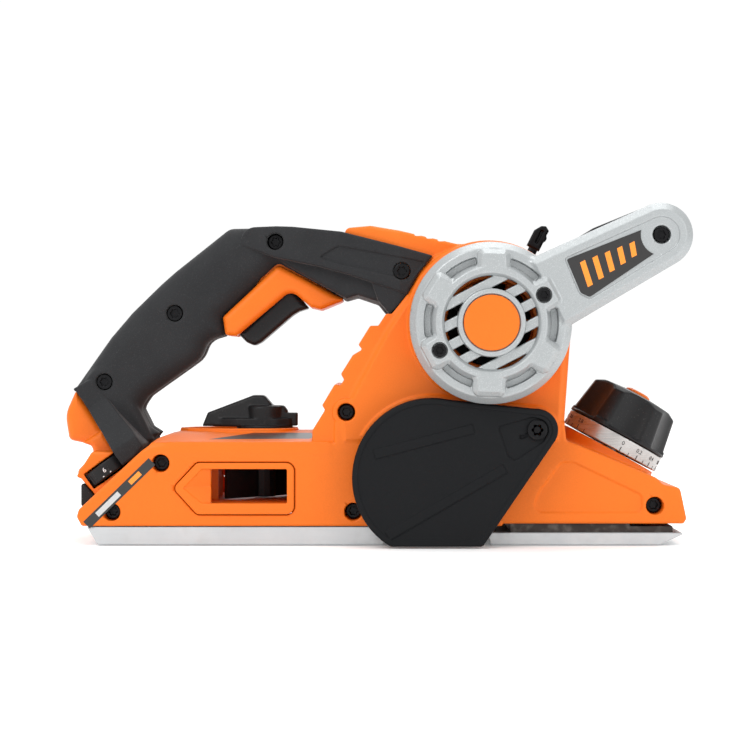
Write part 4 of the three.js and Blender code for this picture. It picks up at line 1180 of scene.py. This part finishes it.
def make_front_bar():
    """The soft bar between the arms, with grooves round it."""
    bar = Clay((88, -64, 108), (152, 46, 166), 0.6)
    section = [on_arm(56, 18.4, 7), on_arm(104, 14, 12), on_arm(104, -13.5, 12), on_arm(60, -13, 9)]
    bar.add(pulled(section, -63.7, 46, 1.2))
    for k in range(9):
        at = -52 + 11 * k
        groove = pulled(grown(section, 3), at, at + 2.4, 0.4)
        inner = pulled(grown(section, -0.9), at - 5, at + 8, 0.4)
        bar.cut(without(groove, inner), 0.6)
    bar.add(pulled(grown(section, -0.8), -63.7, 46, 1.0))
    moulding("front_bar", bar, "housing", SOFT, "soft_grip", "front_handle_bar")


# ---------------------------------------------------------------- side guard

GUARD_FACE = -61.0
GUARD_POCKET = [
    (58.8, 57.8, 1.2), (76, 62.8, 5), (84.2, 58.5, 5), (80.6, 50.6, 3), (66.8, 41.6, 1.5),
    (63.6, 43.6, 1),
]
GUARD_RIBS = [(-0.4, 44.6, 47, 56.9), (6, 5.5, 62.1, 37.9)]


def make_guard():
    """A hollow plate with two ribs and a pocket round its pivot."""
    clay = Clay((-12, -61.5, 0), (89, -47, 72.5), 0.4)
    clay.add(pulled(guard_outline(), GUARD_FACE, -47.3, 1.1))
    clay.cut(pulled(grown(guard_outline(), -2), -58.5, -44, 0.5))
    clay.cut(brick((-20, -58.5, -3), (60, -44, 8), 0.3))
    clay.add(rod(*GUARD_PIVOT, 5.2, -59, -47.3))
    clay.cut(pulled(grown(guard_outline(), -2.8), GUARD_FACE - 1, GUARD_FACE + 0.6, 0.3), 0.5)
    for ends in GUARD_RIBS:
        clay.add(pulled(stripe(*ends, 4.7), GUARD_FACE, -59.5, 0.3))
    clay.cut(pulled(GUARD_POCKET, GUARD_FACE - 2, GUARD_FACE + 1.4, 0.2))
    clay.cut(pulled(stripe(69.6, 52.5, 75, 55.2, 1.3), GUARD_FACE - 2, GUARD_FACE + 2.2, 0.2))
    clay.cut(rod(*GUARD_PIVOT, 5.4, GUARD_FACE - 2, GUARD_FACE + 1.4, 0.2))
    clay.cut(rod(*GUARD_PIVOT, 3.3, GUARD_FACE - 2, -44))
    moulding("guard_plate", clay, "guard", GUARD, "black_plastic", "side_guard")


# ---------------------------------------------------------------- depth knob

KNOB_FACETS = 6


def make_knob():
    """The depth knob: turned to a profile, with hollowed facets round its side."""
    clay = Clay((84, -28, 32), (162, 28, 92), 0.4)
    body = [
        (0, 26), (4.6, 26), (4.6, 1), (19.6, 1), (19.6, 8.2), (26.3, 8.2, 0.4), (25.9, 10.8, 0.6),
        (25.2, 11.2, 0.3), (22.4, 27.4, 1), (18.4, 29.6, 1), (9, 30.6, 2), (7.4, 30.4, 0.3),
        (7.4, 29.2), (0, 29.2),
    ]
    clay.add(lathed(KNOB_FRAME, body))
    for k in range(KNOB_FACETS):
        turn = Matrix.Rotation(math.radians(30 + 60 * k), 4, "Z")
        lean = Matrix.Rotation(math.radians(-9), 4, "Y")
        place = KNOB_FRAME @ turn @ Matrix.Translation((43.2, 0, 12)) @ lean
        clay.cut(lathed(place, [(0, 0.5), (21.5, 0.5, 1), (21.5, 26, 0), (0, 26)]), 1.0)
    clay.cut(lathed(KNOB_FRAME, [(-1, -1), (4.6, -1), (4.6, 26), (-1, 26)]))
    moulding("knob_grip", clay, "depth_dial", BLACK, "black_plastic", "depth_knob")


def make_knob_cap():
    cap = Clay((125, -8, 64), (143, 8, 78), 0.25)
    cap.add(lathed(KNOB_FRAME, [(0, 29.3), (6.6, 29.3), (6.6, 31.4, 0.8), (5, 32.2, 1), (0, 32.4)]))
    moulding("knob_badge", cap, "depth_dial", ORANGE, "body_orange", "knob_cap")


def make_scale_ring():
    """The ring under the knob that carries the depth marks."""
    clay = Clay((88, -27, 30), (147, 27, 68), 0.35)
    ring = [(20, 0.4), (25.9, 0.4, 0.3), (25.9, 7.9, 0.3), (20, 7.9)]
    clay.add(lathed(KNOB_FRAME, ring))
    moulding("scale_ring", clay, "depth_dial", RING, "scale_ring", "depth_scale_ring")


# ---------------------------------------------------------------- chip selector and ports

LEVER = [
    (-87.6, 56.2, 0.5), (-84.8, 63.1, 1.5), (-61.6, 71.9, 3), (-55.9, 71.9, 3), (-51.6, 66.8, 1),
    (-46, 66.6, 1.5), (-44.4, 64.4, 0.5), (-42.5, 56.2, 0.5),
]


def lever_half(x, z):
    """The lever narrows towards its tail and its crest."""
    return np.interp(x, [-87, -62, -54, -42], [3.6, 7, 7.4, 4.6]).astype(np.float32) - (z - 56) * 0.16


def lever_other_half(x, z):
    return -lever_half(x, z)


def make_selector():
    """A lever on a round foot, with its shaft down into the duct."""
    clay = Clay((-89, -15, 36), (-38, 15, 73), 0.35)
    clay.add(pulled(LEVER, lever_other_half, lever_half, 1.2))
    skirt = [(-87, 0, 4)] + mirrored([(-70, -8.5, 10), (-50, -9.5, 8), (-42, -5.5, 3)])
    clay.add(raised(skirt, 56.1, 60.4, 0.8), 0.5)
    clay.add(raised(circle(SELECTOR_X, 0, 14.2), 54.4, 57, 0.6))
    clay.add(raised(circle(SELECTOR_X, 0, 9.6), 56.1, 66.6, 1.2), 0.6)
    clay.add(raised(mirrored([(-48, -4.5, 0.6), (-39.2, -4.5, 1)]), 56.4, 63, 0.6))
    clay.add(raised(circle(SELECTOR_X, 0, 5.5), 37, 58, 0.3))
    clay.cut(pulled(stripe(-57.4, 73, -55.6, 67, 0.8), -12, -7.0, 0.2), 0.2)
    moulding("lever", clay, "selector", BLACK, "black_plastic", "chip_selector")


def funnel_floor(x, z, mouth):
    """The mouth's two slanted walls meet in a fold behind the duct, which is open."""
    from_upper = ((x + 93) * 9.3 - (z - 27.5) * 8.9) / 12.9
    from_lower = ((x + 93) * 7.3 + (z - 27.5) * 8.9) / 11.5
    return np.where(x > mouth, 40, 45.6 - 0.5 * np.clip(np.minimum(from_upper, from_lower), 0, 9))


PORT_MOUTHS = {RIGHT: -79.5, LEFT: -76}  # X where the opening into the duct begins


def make_ports():
    """Bezels whose five-sided mouth slopes in to the square duct."""
    for side, name in SIDE_NAMES.items():
        mouth = PORT_MOUTHS[side]
        ends = sorted((side * 40.8, side * 46.4))
        clay = Clay((-99, ends[0], 14), (-38, ends[1], 41), 0.35)
        clay.add(slab_on(side, PORT, 41, 46, 0.7))
        clay.cut(slab_on(side, PORT_OPENING, partial(funnel_floor, mouth=mouth), 47, 0.3))
        moulding(f"bezel_{name}", clay, "housing", ORANGE, "body_orange", f"port_bezel_{name}")


# ---------------------------------------------------------------- screws and small parts


BELT_FACE = 69
BELT_SCREWS = [(14, 17), (43, 17), (55, 115)]


def torx(x, z, radius, start, end):
    """The six-lobed recess in a screw's head."""
    reach = radius * 1.2

    def distance(px, py, pz):
        lobes = 1 + 0.16 * np.cos(6 * np.arctan2(pz - z, px - x))
        side = np.hypot(px - x, pz - z) - radius * lobes
        return np.maximum(side, np.maximum(start - py, py - end))

    return Shape((x - reach, start, z - reach), (x + reach, end, z + reach), distance)


def make_screw(name, place, top, under, tip, head, shank, *stands_for):
    """A screw along Y: its head's face, the head's underside and its far end."""
    x, z = place
    out = 1 if top > tip else -1
    ends = sorted((top, tip))
    clay = Clay((x - head, ends[0], z - head), (x + head, ends[1], z + head), 0.25)
    clay.add(rod(x, z, head, *sorted((top, under)), 0.6))
    clay.add(rod(x, z, shank, *sorted((under, tip)), 0.3))
    clay.cut(torx(x, z, head * 0.5, *sorted((top - out * 1.5, top + out))), 0.15)
    moulding(name, clay, "housing", BLACK_STEEL, "steel", *stands_for)


def make_screws():
    """Every screw that shows, with the node that it stands for where there is one."""
    for k, (x, z) in enumerate(BODY_SCREWS, 1):
        under = 8.7 - (MOTOR_HALF if z > 60 else BODY_HALF)
        make_screw(f"body_screw_{k}", (x, z), under - 3, under, 36, 3.8, 2, f"housing_screw_{k}")
    for k, (x, z, half, recess) in enumerate(HANDLE_SCREWS, 1):
        under = recess + 0.1 - half
        make_screw(f"handle_screw_{k}", (x, z), under - 2.2, under, under + 8, 4, 1.8)
    for k, place in enumerate(COVER_SCREWS, 1):
        make_screw(f"vent_screw_{k}", place, -74.4, -72.4, -52, 3.2, 1.9, f"cover_screw_{k}")
    make_screw("guard_bolt", GUARD_PIVOT, -61.5, -60, -32, 4.9, 1.9, "guard_pivot_screw")
    end = on_arm(ARM_LENGTH, 0)
    make_screw("arm_bolt_right", end, -70.2, -67.5, -64.3, 3.7, 2)
    make_screw("arm_bolt_left", end, 53.2, 51.1, 47, 3.7, 2)
    for k, place in enumerate(BELT_SCREWS, 1):
        make_screw(f"belt_cover_screw_{k}", place, BELT_FACE, 67.4, 66.6, 3, 1.8)


def around_pulleys(drum_radius, motor_radius):
    """Two circles joined by their outer tangents."""
    dx, dz = MOTOR_X - DRUM_X, MOTOR_Z - DRUM_Z
    along = math.degrees(math.atan2(dz, dx))
    lean = math.degrees(math.acos((drum_radius - motor_radius) / math.hypot(dx, dz)))
    return [
        *arc(*DRUM, drum_radius, along + lean, along + 360 - lean),
        *arc(*MOTOR, motor_radius, along - lean, along + lean),
    ]


def make_belt_cover():
    """The cover on the left, hollow round the pulleys, with a sunk face and raised ribs."""
    clay = Clay((2, 46, 1), (75, 70, 127), 0.45)
    clay.add(pulled(around_pulleys(26, 18.6), 46.3, BELT_FACE, 5))
    clay.add(pulled(around_pulleys(26, 18.6), 46.3, 50, 0.6), 0.5)
    clay.cut(pulled(around_pulleys(18.5, 11.5), BELT_FACE - 0.8, BELT_FACE + 2, 0.3), 0.8)
    for k in range(4):
        x, z = 38 + 2.6 * k, 56 + 8 * k
        clay.add(pulled(stripe(x - 8, z + 2.6, x + 8, z - 2.6, 2.2), BELT_FACE - 2, BELT_FACE, 0.6), 0.5)
    for x, z in BELT_SCREWS:
        clay.add(rod(x, z, 4.6, BELT_FACE - 3, BELT_FACE, 0.6), 0.6)
        clay.cut(rod(x, z, 3.4, BELT_FACE - 1.5, BELT_FACE + 2, 0.2), 0.3)
    clay.cut(pulled(around_pulleys(23.5, 16.1), 44, 66.5, 1.5))
    moulding("belt_housing", clay, "housing", ORANGE, "body_orange", "belt_cover")


def make_rear_bumper():
    """A grooved bar across the rear corner, cut away for the speed dial."""
    clay = Clay((-145, -30, 16), (-138, 30, 31), 0.35)
    clay.add(pulled([(-144.9, 30.4, 1), (-138.3, 22.6, 1), (-144.9, 16.2, 1)], -30, 30, 0.8))
    for y in range(-24, 25, 8):
        clay.cut(brick((-146, y - 0.7, 15), (-144.2, y + 0.7, 32), 0.2), 0.3)
    clay.cut(disc(DIAL_FRAME, 14.2, -4.2, 4.2))
    moulding("bumper", clay, "housing", RUBBER, "black_plastic", "rear_bumper")


def make_cable_gland():
    """The bush where the cable would enter, with two grooves round it."""
    inlet = Matrix.Translation((-154, 0, 60)) @ Matrix.Rotation(math.pi / 2, 4, "Y")
    clay = Clay((-155, -7, 53), (-143, 7, 67), 0.25)
    bush = [(3.6, 0), (5.7, 0, 0.8), (5.7, 7.6), (6.6, 7.6), (6.6, 10), (3.6, 10)]
    clay.add(lathed(inlet, bush))
    for height in (1.8, 4.0):
        groove = [(5.0, height), (7, height), (7, height + 0.9), (5.0, height + 0.9)]
        clay.cut(lathed(inlet, groove), 0.3)
    moulding("gland", clay, "housing", RUBBER, "black_plastic", "cable_gland")


DIAL_RADIUS = 13.5


def make_speed_dial():
    """A thumbwheel with a knurled rim and two axle stubs."""
    clay = Clay((-150, -36, 20), (-116, -2, 52), 0.3)
    wheel = [(0, -3.5), (DIAL_RADIUS, -3.5, 0.7), (DIAL_RADIUS, 3.5, 0.7), (0, 3.5)]
    clay.add(lathed(DIAL_FRAME, wheel))
    clay.add(lathed(DIAL_FRAME, [(0, -6.5), (2.6, -6.5, 0.4), (2.6, 6.5, 0.4), (0, 6.5)]))
    for k in range(8, 38):
        turn = Matrix.Rotation(math.radians(9 * k - 90), 4, "Z") @ Matrix.Translation((13.9, 0, 0))
        clay.cut(disc(DIAL_FRAME @ turn, 0.6, -5, 5), 0.2)
    moulding("thumbwheel", clay, "speed_dial", BLACK, "black_plastic", "speed_dial")


WRENCH_HEAD = [
    (-3.9, 0.6), (-3.9, 9.5, 1), (-1.6, 13, 1), (0.6, 14, 0.6), (3.2, 12.4, 1), (3, 9.6, 0.5),
    (3.9, 8.4, 0.5), (3.9, 6.8, 0.5), (3.2, 5.6), (3.2, 0.6),
]


def make_wrench():
    """The blade wrench: a hexagonal bar with a flat head."""
    clay = Clay((68, 19, 124), (94, 29, 163), 0.3)
    clay.add(placed(WRENCH_FRAME, pulled(WRENCH_HEAD, -2.5, 2.5, 0.9)))
    clay.cut(placed(WRENCH_FRAME, brick((-0.7, -4, 3.5), (0.7, -1, 11), 0.1)), 0.2)
    corners = [math.radians(60 * k) for k in range(6)]
    hexagon = [(2.5 * math.cos(turn), 2.5 * math.sin(turn)) for turn in corners]
    clay.add(placed(WRENCH_FRAME, raised(hexagon, -22, 1, 0.3)), 0.3)
    moulding("wrench_key", clay, "wrench", BLACK_STEEL, "black_plastic", "blade_wrench")


# ---------------------------------------------------------------- CAD pieces with finished edges


def softened(name, node, look, slot, width):
    """A copy of a CAD node's shape with its machined edges broken, shown in the node's place."""
    mesh = frame["nodes"][node].data.copy()
    mesh.materials.clear()
    work = bmesh.new()
    work.from_mesh(mesh)
    bmesh.ops.remove_doubles(work, verts=work.verts, dist=1e-5)
    bmesh.ops.dissolve_limit(work, angle_limit=math.radians(1), verts=work.verts, edges=work.edges)
    bend = math.radians(30)
    sharp = [edge for edge in work.edges if edge.is_manifold and edge.calc_face_angle() > bend]
    bmesh.ops.bevel(work, geom=sharp, offset=width * MM, segments=2, affect="EDGES", clamp_overlap=True)
    work.to_mesh(mesh)
    work.free()
    if "custom_normal" in mesh.attributes:
        mesh.attributes.remove(mesh.attributes["custom_normal"])
    mesh.shade_smooth()
    mesh.set_sharp_from_angle(angle=math.radians(35))
    piece(name, mesh, frame["nodes"][node]["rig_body"], look, slot, node)


def make_machined_parts():
    softened("rear_sole_plate", "rear_shoe", SOLE, "sole_aluminium", 0.3)
    softened("front_sole_plate", "front_shoe", FRONT_CASTING, "sole_aluminium", 0.3)
    softened("duct_moulding", "chip_duct", ORANGE, "body_orange", 0.25)
    softened("cutter_block", "cutter_drum", SOLE, "steel", 0.25)


INNER_LOOKS = {
    "blade_1": STEEL, "blade_2": STEEL, "blade_clamp_1": STEEL, "blade_clamp_2": STEEL,
    "drum_shaft": STEEL, "drum_bearing_right": STEEL, "drum_bearing_left": STEEL,
    "drum_pulley": SOLE, "motor_pulley": STEEL, "drive_belt": RUBBER,
    "armature": COPPER, "stator": STEEL, "motor_bearing_right": STEEL, "motor_bearing_left": STEEL,
    "cooling_fan": BLACK, "brush_front": BLACK, "brush_rear": BLACK,
    "switch_body": BLACK, "control_module": BLACK, "chip_flap": BLACK,
    "depth_screw": STEEL, "depth_spring": STEEL, "trigger_spring": STEEL, "guard_spring": STEEL,
}


def dress_inner_nodes():
    """Gives the CAD nodes that are shown as they are their materials."""
    for name, look in INNER_LOOKS.items():
        mesh = frame["nodes"][name].data
        mesh.materials.clear()
        mesh.materials.append(look)


# ---------------------------------------------------------------- printed marks


class Print:
    """Thin marks laid on a surface by a function of across, up and out, in millimetres."""

    def __init__(self, lay):
        self.lay = lay
        self.work = bmesh.new()

    def _settle(self, first):
        """Moves the vertices made since the first one given to the surface."""
        self.work.verts.ensure_lookup_table()
        for vertex in self.work.verts[first:]:
            vertex.co = Vector(self.lay(*vertex.co)) * MM

    def outline(self, points, low=-0.1, high=0.12):
        """A flat patch with a thickness."""
        first = len(self.work.verts)
        back = [self.work.verts.new((a, u, low)) for a, u in points]
        front = [self.work.verts.new((a, u, high)) for a, u in points]
        self.work.faces.new(front)
        self.work.faces.new(back[::-1])
        for k in range(len(points)):
            after = (k + 1) % len(points)
            self.work.faces.new((back[k], back[after], front[after], front[k]))
        self._settle(first)

    def mark(self, across, up, width, height):
        """An upright rectangle about a middle."""
        corners = [(-1, -1), (1, -1), (1, 1), (-1, 1)]
        self.outline([(across + a * width / 2, up + u * height / 2) for a, u in corners])

    def number(self, digits, size, across, up):
        """A number about a middle."""
        curve = bpy.data.curves.new("digits", "FONT")
        curve.body = digits
        curve.size = size
        curve.align_x = "CENTER"
        curve.align_y = "CENTER"
        curve.extrude = 0.09
        curve.resolution_u = 3
        holder = bpy.data.objects.new("digits", curve)
        mesh = bpy.data.meshes.new_from_object(holder)
        mesh.transform(Matrix.Translation((across, up, 0)))
        first = len(self.work.verts)
        self.work.from_mesh(mesh)
        self._settle(first)
        bpy.data.objects.remove(holder)
        bpy.data.curves.remove(curve)
        bpy.data.meshes.remove(mesh)

    def done(self, name, body, look, slot):
        """Shows the marks as one piece."""
        bmesh.ops.recalc_face_normals(self.work, faces=self.work.faces)
        mesh = bpy.data.meshes.new(name)
        self.work.to_mesh(mesh)
        self.work.free()
        mesh.materials.clear()
        piece(name, mesh, body, look, slot)


def on_wheel(place, radius):
    """Lays marks round a wheel; across runs from -Y towards the wheel's local +X."""

    def lay(across, up, out):
        angle = across / radius
        reach = radius + out
        return place @ Vector((reach * math.sin(angle), -reach * math.cos(angle), up))

    return lay


def on_flank(side, face):
    """Lays marks on a flat flank, at that distance from the centre plane."""

    def lay(x, z, out):
        return (x, side * (face + out), z)

    return lay


def on_deck(side):
    """Lays marks on the slope between the deck's edge and its crown."""

    def lay(x, y, out):
        return (x, side * y, DECK_EDGE + (DECK_HALF - y) / DECK_SLOPE + out)

    return lay


RING_RADIUS = 25.9
RING_NUMBERS = 15
RING_STEP = 21.6  # degrees between two numbers
RING_FIRST = 4.5  # degrees from -Y to the first number


def print_ring_scale():
    """Cutting depths round the ring, 0.2 mm apart, with a tick for each and one between."""
    marks = Print(on_wheel(KNOB_FRAME, RING_RADIUS))
    for k in range(RING_NUMBERS):
        across = math.radians(RING_FIRST + RING_STEP * k) * RING_RADIUS
        marks.number(f"{0.2 * k:.1f}".removesuffix(".0"), 2.9, across, 5.0)
        marks.mark(across, 1.9, 0.4, 2.2)
        marks.mark(across + math.radians(RING_STEP / 2) * RING_RADIUS, 1.5, 0.3, 1.4)
    marks.done("ring_marks", "depth_dial", BLACK_INK, "black_plastic")


def print_speed_dial():
    """The number of the fastest setting, underlined."""
    marks = Print(on_wheel(DIAL_FRAME, DIAL_RADIUS))
    marks.number("6", 3.4, 0, 0)
    marks.mark(0, -2.3, 5, 0.4)
    marks.done("dial_marks", "speed_dial", WHITE_INK, "black_plastic")


def print_arm_labels():
    """A dark plate in each arm's recess, with slanting bars."""
    for side, floor in ((RIGHT, 71.2), (LEFT, 53.5)):
        name = SIDE_NAMES[side]
        lay = on_flank(side, floor)
        plate = Print(lay)
        plate.outline([tuple(point) for point in grown(ARM_LABEL, -0.4)], 0.05, 0.35)
        plate.done(f"arm_label_{name}", "housing", LABEL_BLACK, "black_plastic")
        bars = Print(lay)
        for k in range(5):
            start, rise = 49 + 6.2 * k, 7 - 0.7 * k
            corners = [
                on_arm(start - 1, -rise + 1), on_arm(start + 1.7, -rise + 1),
                on_arm(start + 3.7, rise - 1), on_arm(start + 1, rise - 1),
            ]
            bars.outline(corners, 0.36, 0.46)
        bars.done(f"arm_bars_{name}", "housing", LABEL_ORANGE, "body_orange")


def print_deck_labels():
    """A dark patch on each side of the deck."""
    for side, name in SIDE_NAMES.items():
        label = Print(on_deck(side))
        label.outline([(-90, 43.2), (-24, 43.2), (-31.9, 21), (-60, 21)], -0.1, 0.12)
        label.done(f"deck_label_{name}", "housing", LABEL_BLACK, "black_plastic")


STRIP = ((-142.9, 12.6), (-111.2, 43.5))  # the edge of the rear slope that the strip follows
STRIP_INSET = 3
# Each part's name, look and slot, then its start and end as shares of the edge, width and lift.
STRIP_PARTS = [
    ("strip", LABEL_BLACK, "black_plastic", 0, 1, 4.6, 0.12),
    ("silver_patch", LABEL_SILVER, "silver_casting", 0.16, 0.5, 2.6, 0.2),
    ("orange_patch", LABEL_ORANGE, "body_orange", 0.66, 0.82, 2.4, 0.2),
]


def along_strip(share):
    (x0, z0), (x1, z1) = STRIP
    return (x0 + (x1 - x0) * share + STRIP_INSET, z0 + (z1 - z0) * share - STRIP_INSET)


def print_rear_strips():
    """A dark strip up the rear slope of each flank, with a silver and an orange patch."""
    for side, name in SIDE_NAMES.items():
        for part, look, slot, start, end, width, lift in STRIP_PARTS:
            strip = Print(on_flank(side, BODY_HALF))
            strip.outline(stripe(*along_strip(start), *along_strip(end), width), 0, lift)
            strip.done(f"{part}_{name}", "housing", look, slot)


# ---------------------------------------------------------------- stage, lights and camera


def pale_floor():
    look = Look("pale_floor", (0.97, 0.97, 0.97), 0.75)
    look.patches(3, 2, 0.3, 0.7, 0.15, (0.94, 0.94, 0.94))
    return look.done(Emission_Color=(1, 1, 1, 1), Emission_Strength=0.1)


FLOOR_HALF = 4.0


def make_floor():
    """A wide pale floor, part of the stage and not of the object."""
    corners = [(a * FLOOR_HALF, b * FLOOR_HALF, 0) for a, b in ((-1, -1), (1, -1), (1, 1), (-1, 1))]
    mesh = bpy.data.meshes.new("floor")
    mesh.from_pydata(corners, [], [(0, 1, 2, 3)])
    mesh.materials.append(pale_floor())
    floor = bpy.data.objects.new("floor", mesh)
    floor.location.z = -0.5 * MM
    bpy.context.scene.collection.objects.link(floor)


def soft_light(name, place, target, size, power):
    """A round lamp aimed at a target."""
    lamp = bpy.data.lights.new(name, "AREA")
    lamp.shape = "DISK"
    lamp.size = size
    lamp.energy = power
    holder = bpy.data.objects.new(name, lamp)
    holder.location = place
    holder.rotation_euler = (Vector(target) - Vector(place)).to_track_quat("-Z", "Y").to_euler()
    bpy.context.scene.collection.objects.link(holder)


def make_lights():
    """Even studio light in front of a white background."""
    middle = (0, 0, 0.08)
    soft_light("key", (-0.7, -1.1, 1.2), middle, 0.9, 9)
    soft_light("fill", (1.0, -1.0, 0.5), middle, 1.0, 3)
    soft_light("top", (0.1, 0.2, 1.5), middle, 1.2, 9)
    soft_light("back", (0.3, 1.3, 0.9), middle, 1.0, 4)
    world = bpy.data.worlds.new("studio")
    world.use_nodes = True
    world.node_tree.nodes["Background"].inputs["Color"].default_value = (1, 1, 1, 1)
    world.node_tree.nodes["Background"].inputs["Strength"].default_value = 1.02
    bpy.context.scene.world = world
    bpy.context.scene.view_settings.view_transform = "Standard"


EYE = Vector((0, -1.0, 0.0897))


def make_camera():
    """A level view of the right side, from a metre away."""
    lens = bpy.data.cameras.new("camera")
    lens.sensor_width = 36
    lens.lens = 94.5
    lens.shift_y = -0.02
    lens.clip_end = 50
    camera = bpy.data.objects.new("camera", lens)
    camera.location = EYE
    camera.rotation_euler = (math.pi / 2, 0, 0)
    bpy.context.scene.collection.objects.link(camera)
    bpy.context.scene.camera = camera


# ---------------------------------------------------------------- everything in place

make_camera()
for side in (RIGHT, LEFT):
    make_housing(side)
    make_grip(side)
make_trigger()
make_lock_button()
make_vent_cover()
make_cover_badge()
make_left_arm()
make_front_bar()
make_guard()
make_knob()
make_knob_cap()
make_scale_ring()
make_selector()
make_ports()
make_belt_cover()
make_rear_bumper()
make_cable_gland()
make_speed_dial()
make_wrench()
make_screws()
make_machined_parts()
dress_inner_nodes()
print_ring_scale()
print_speed_dial()
print_arm_labels()
print_deck_labels()
print_rear_strips()
make_floor()
make_lights()
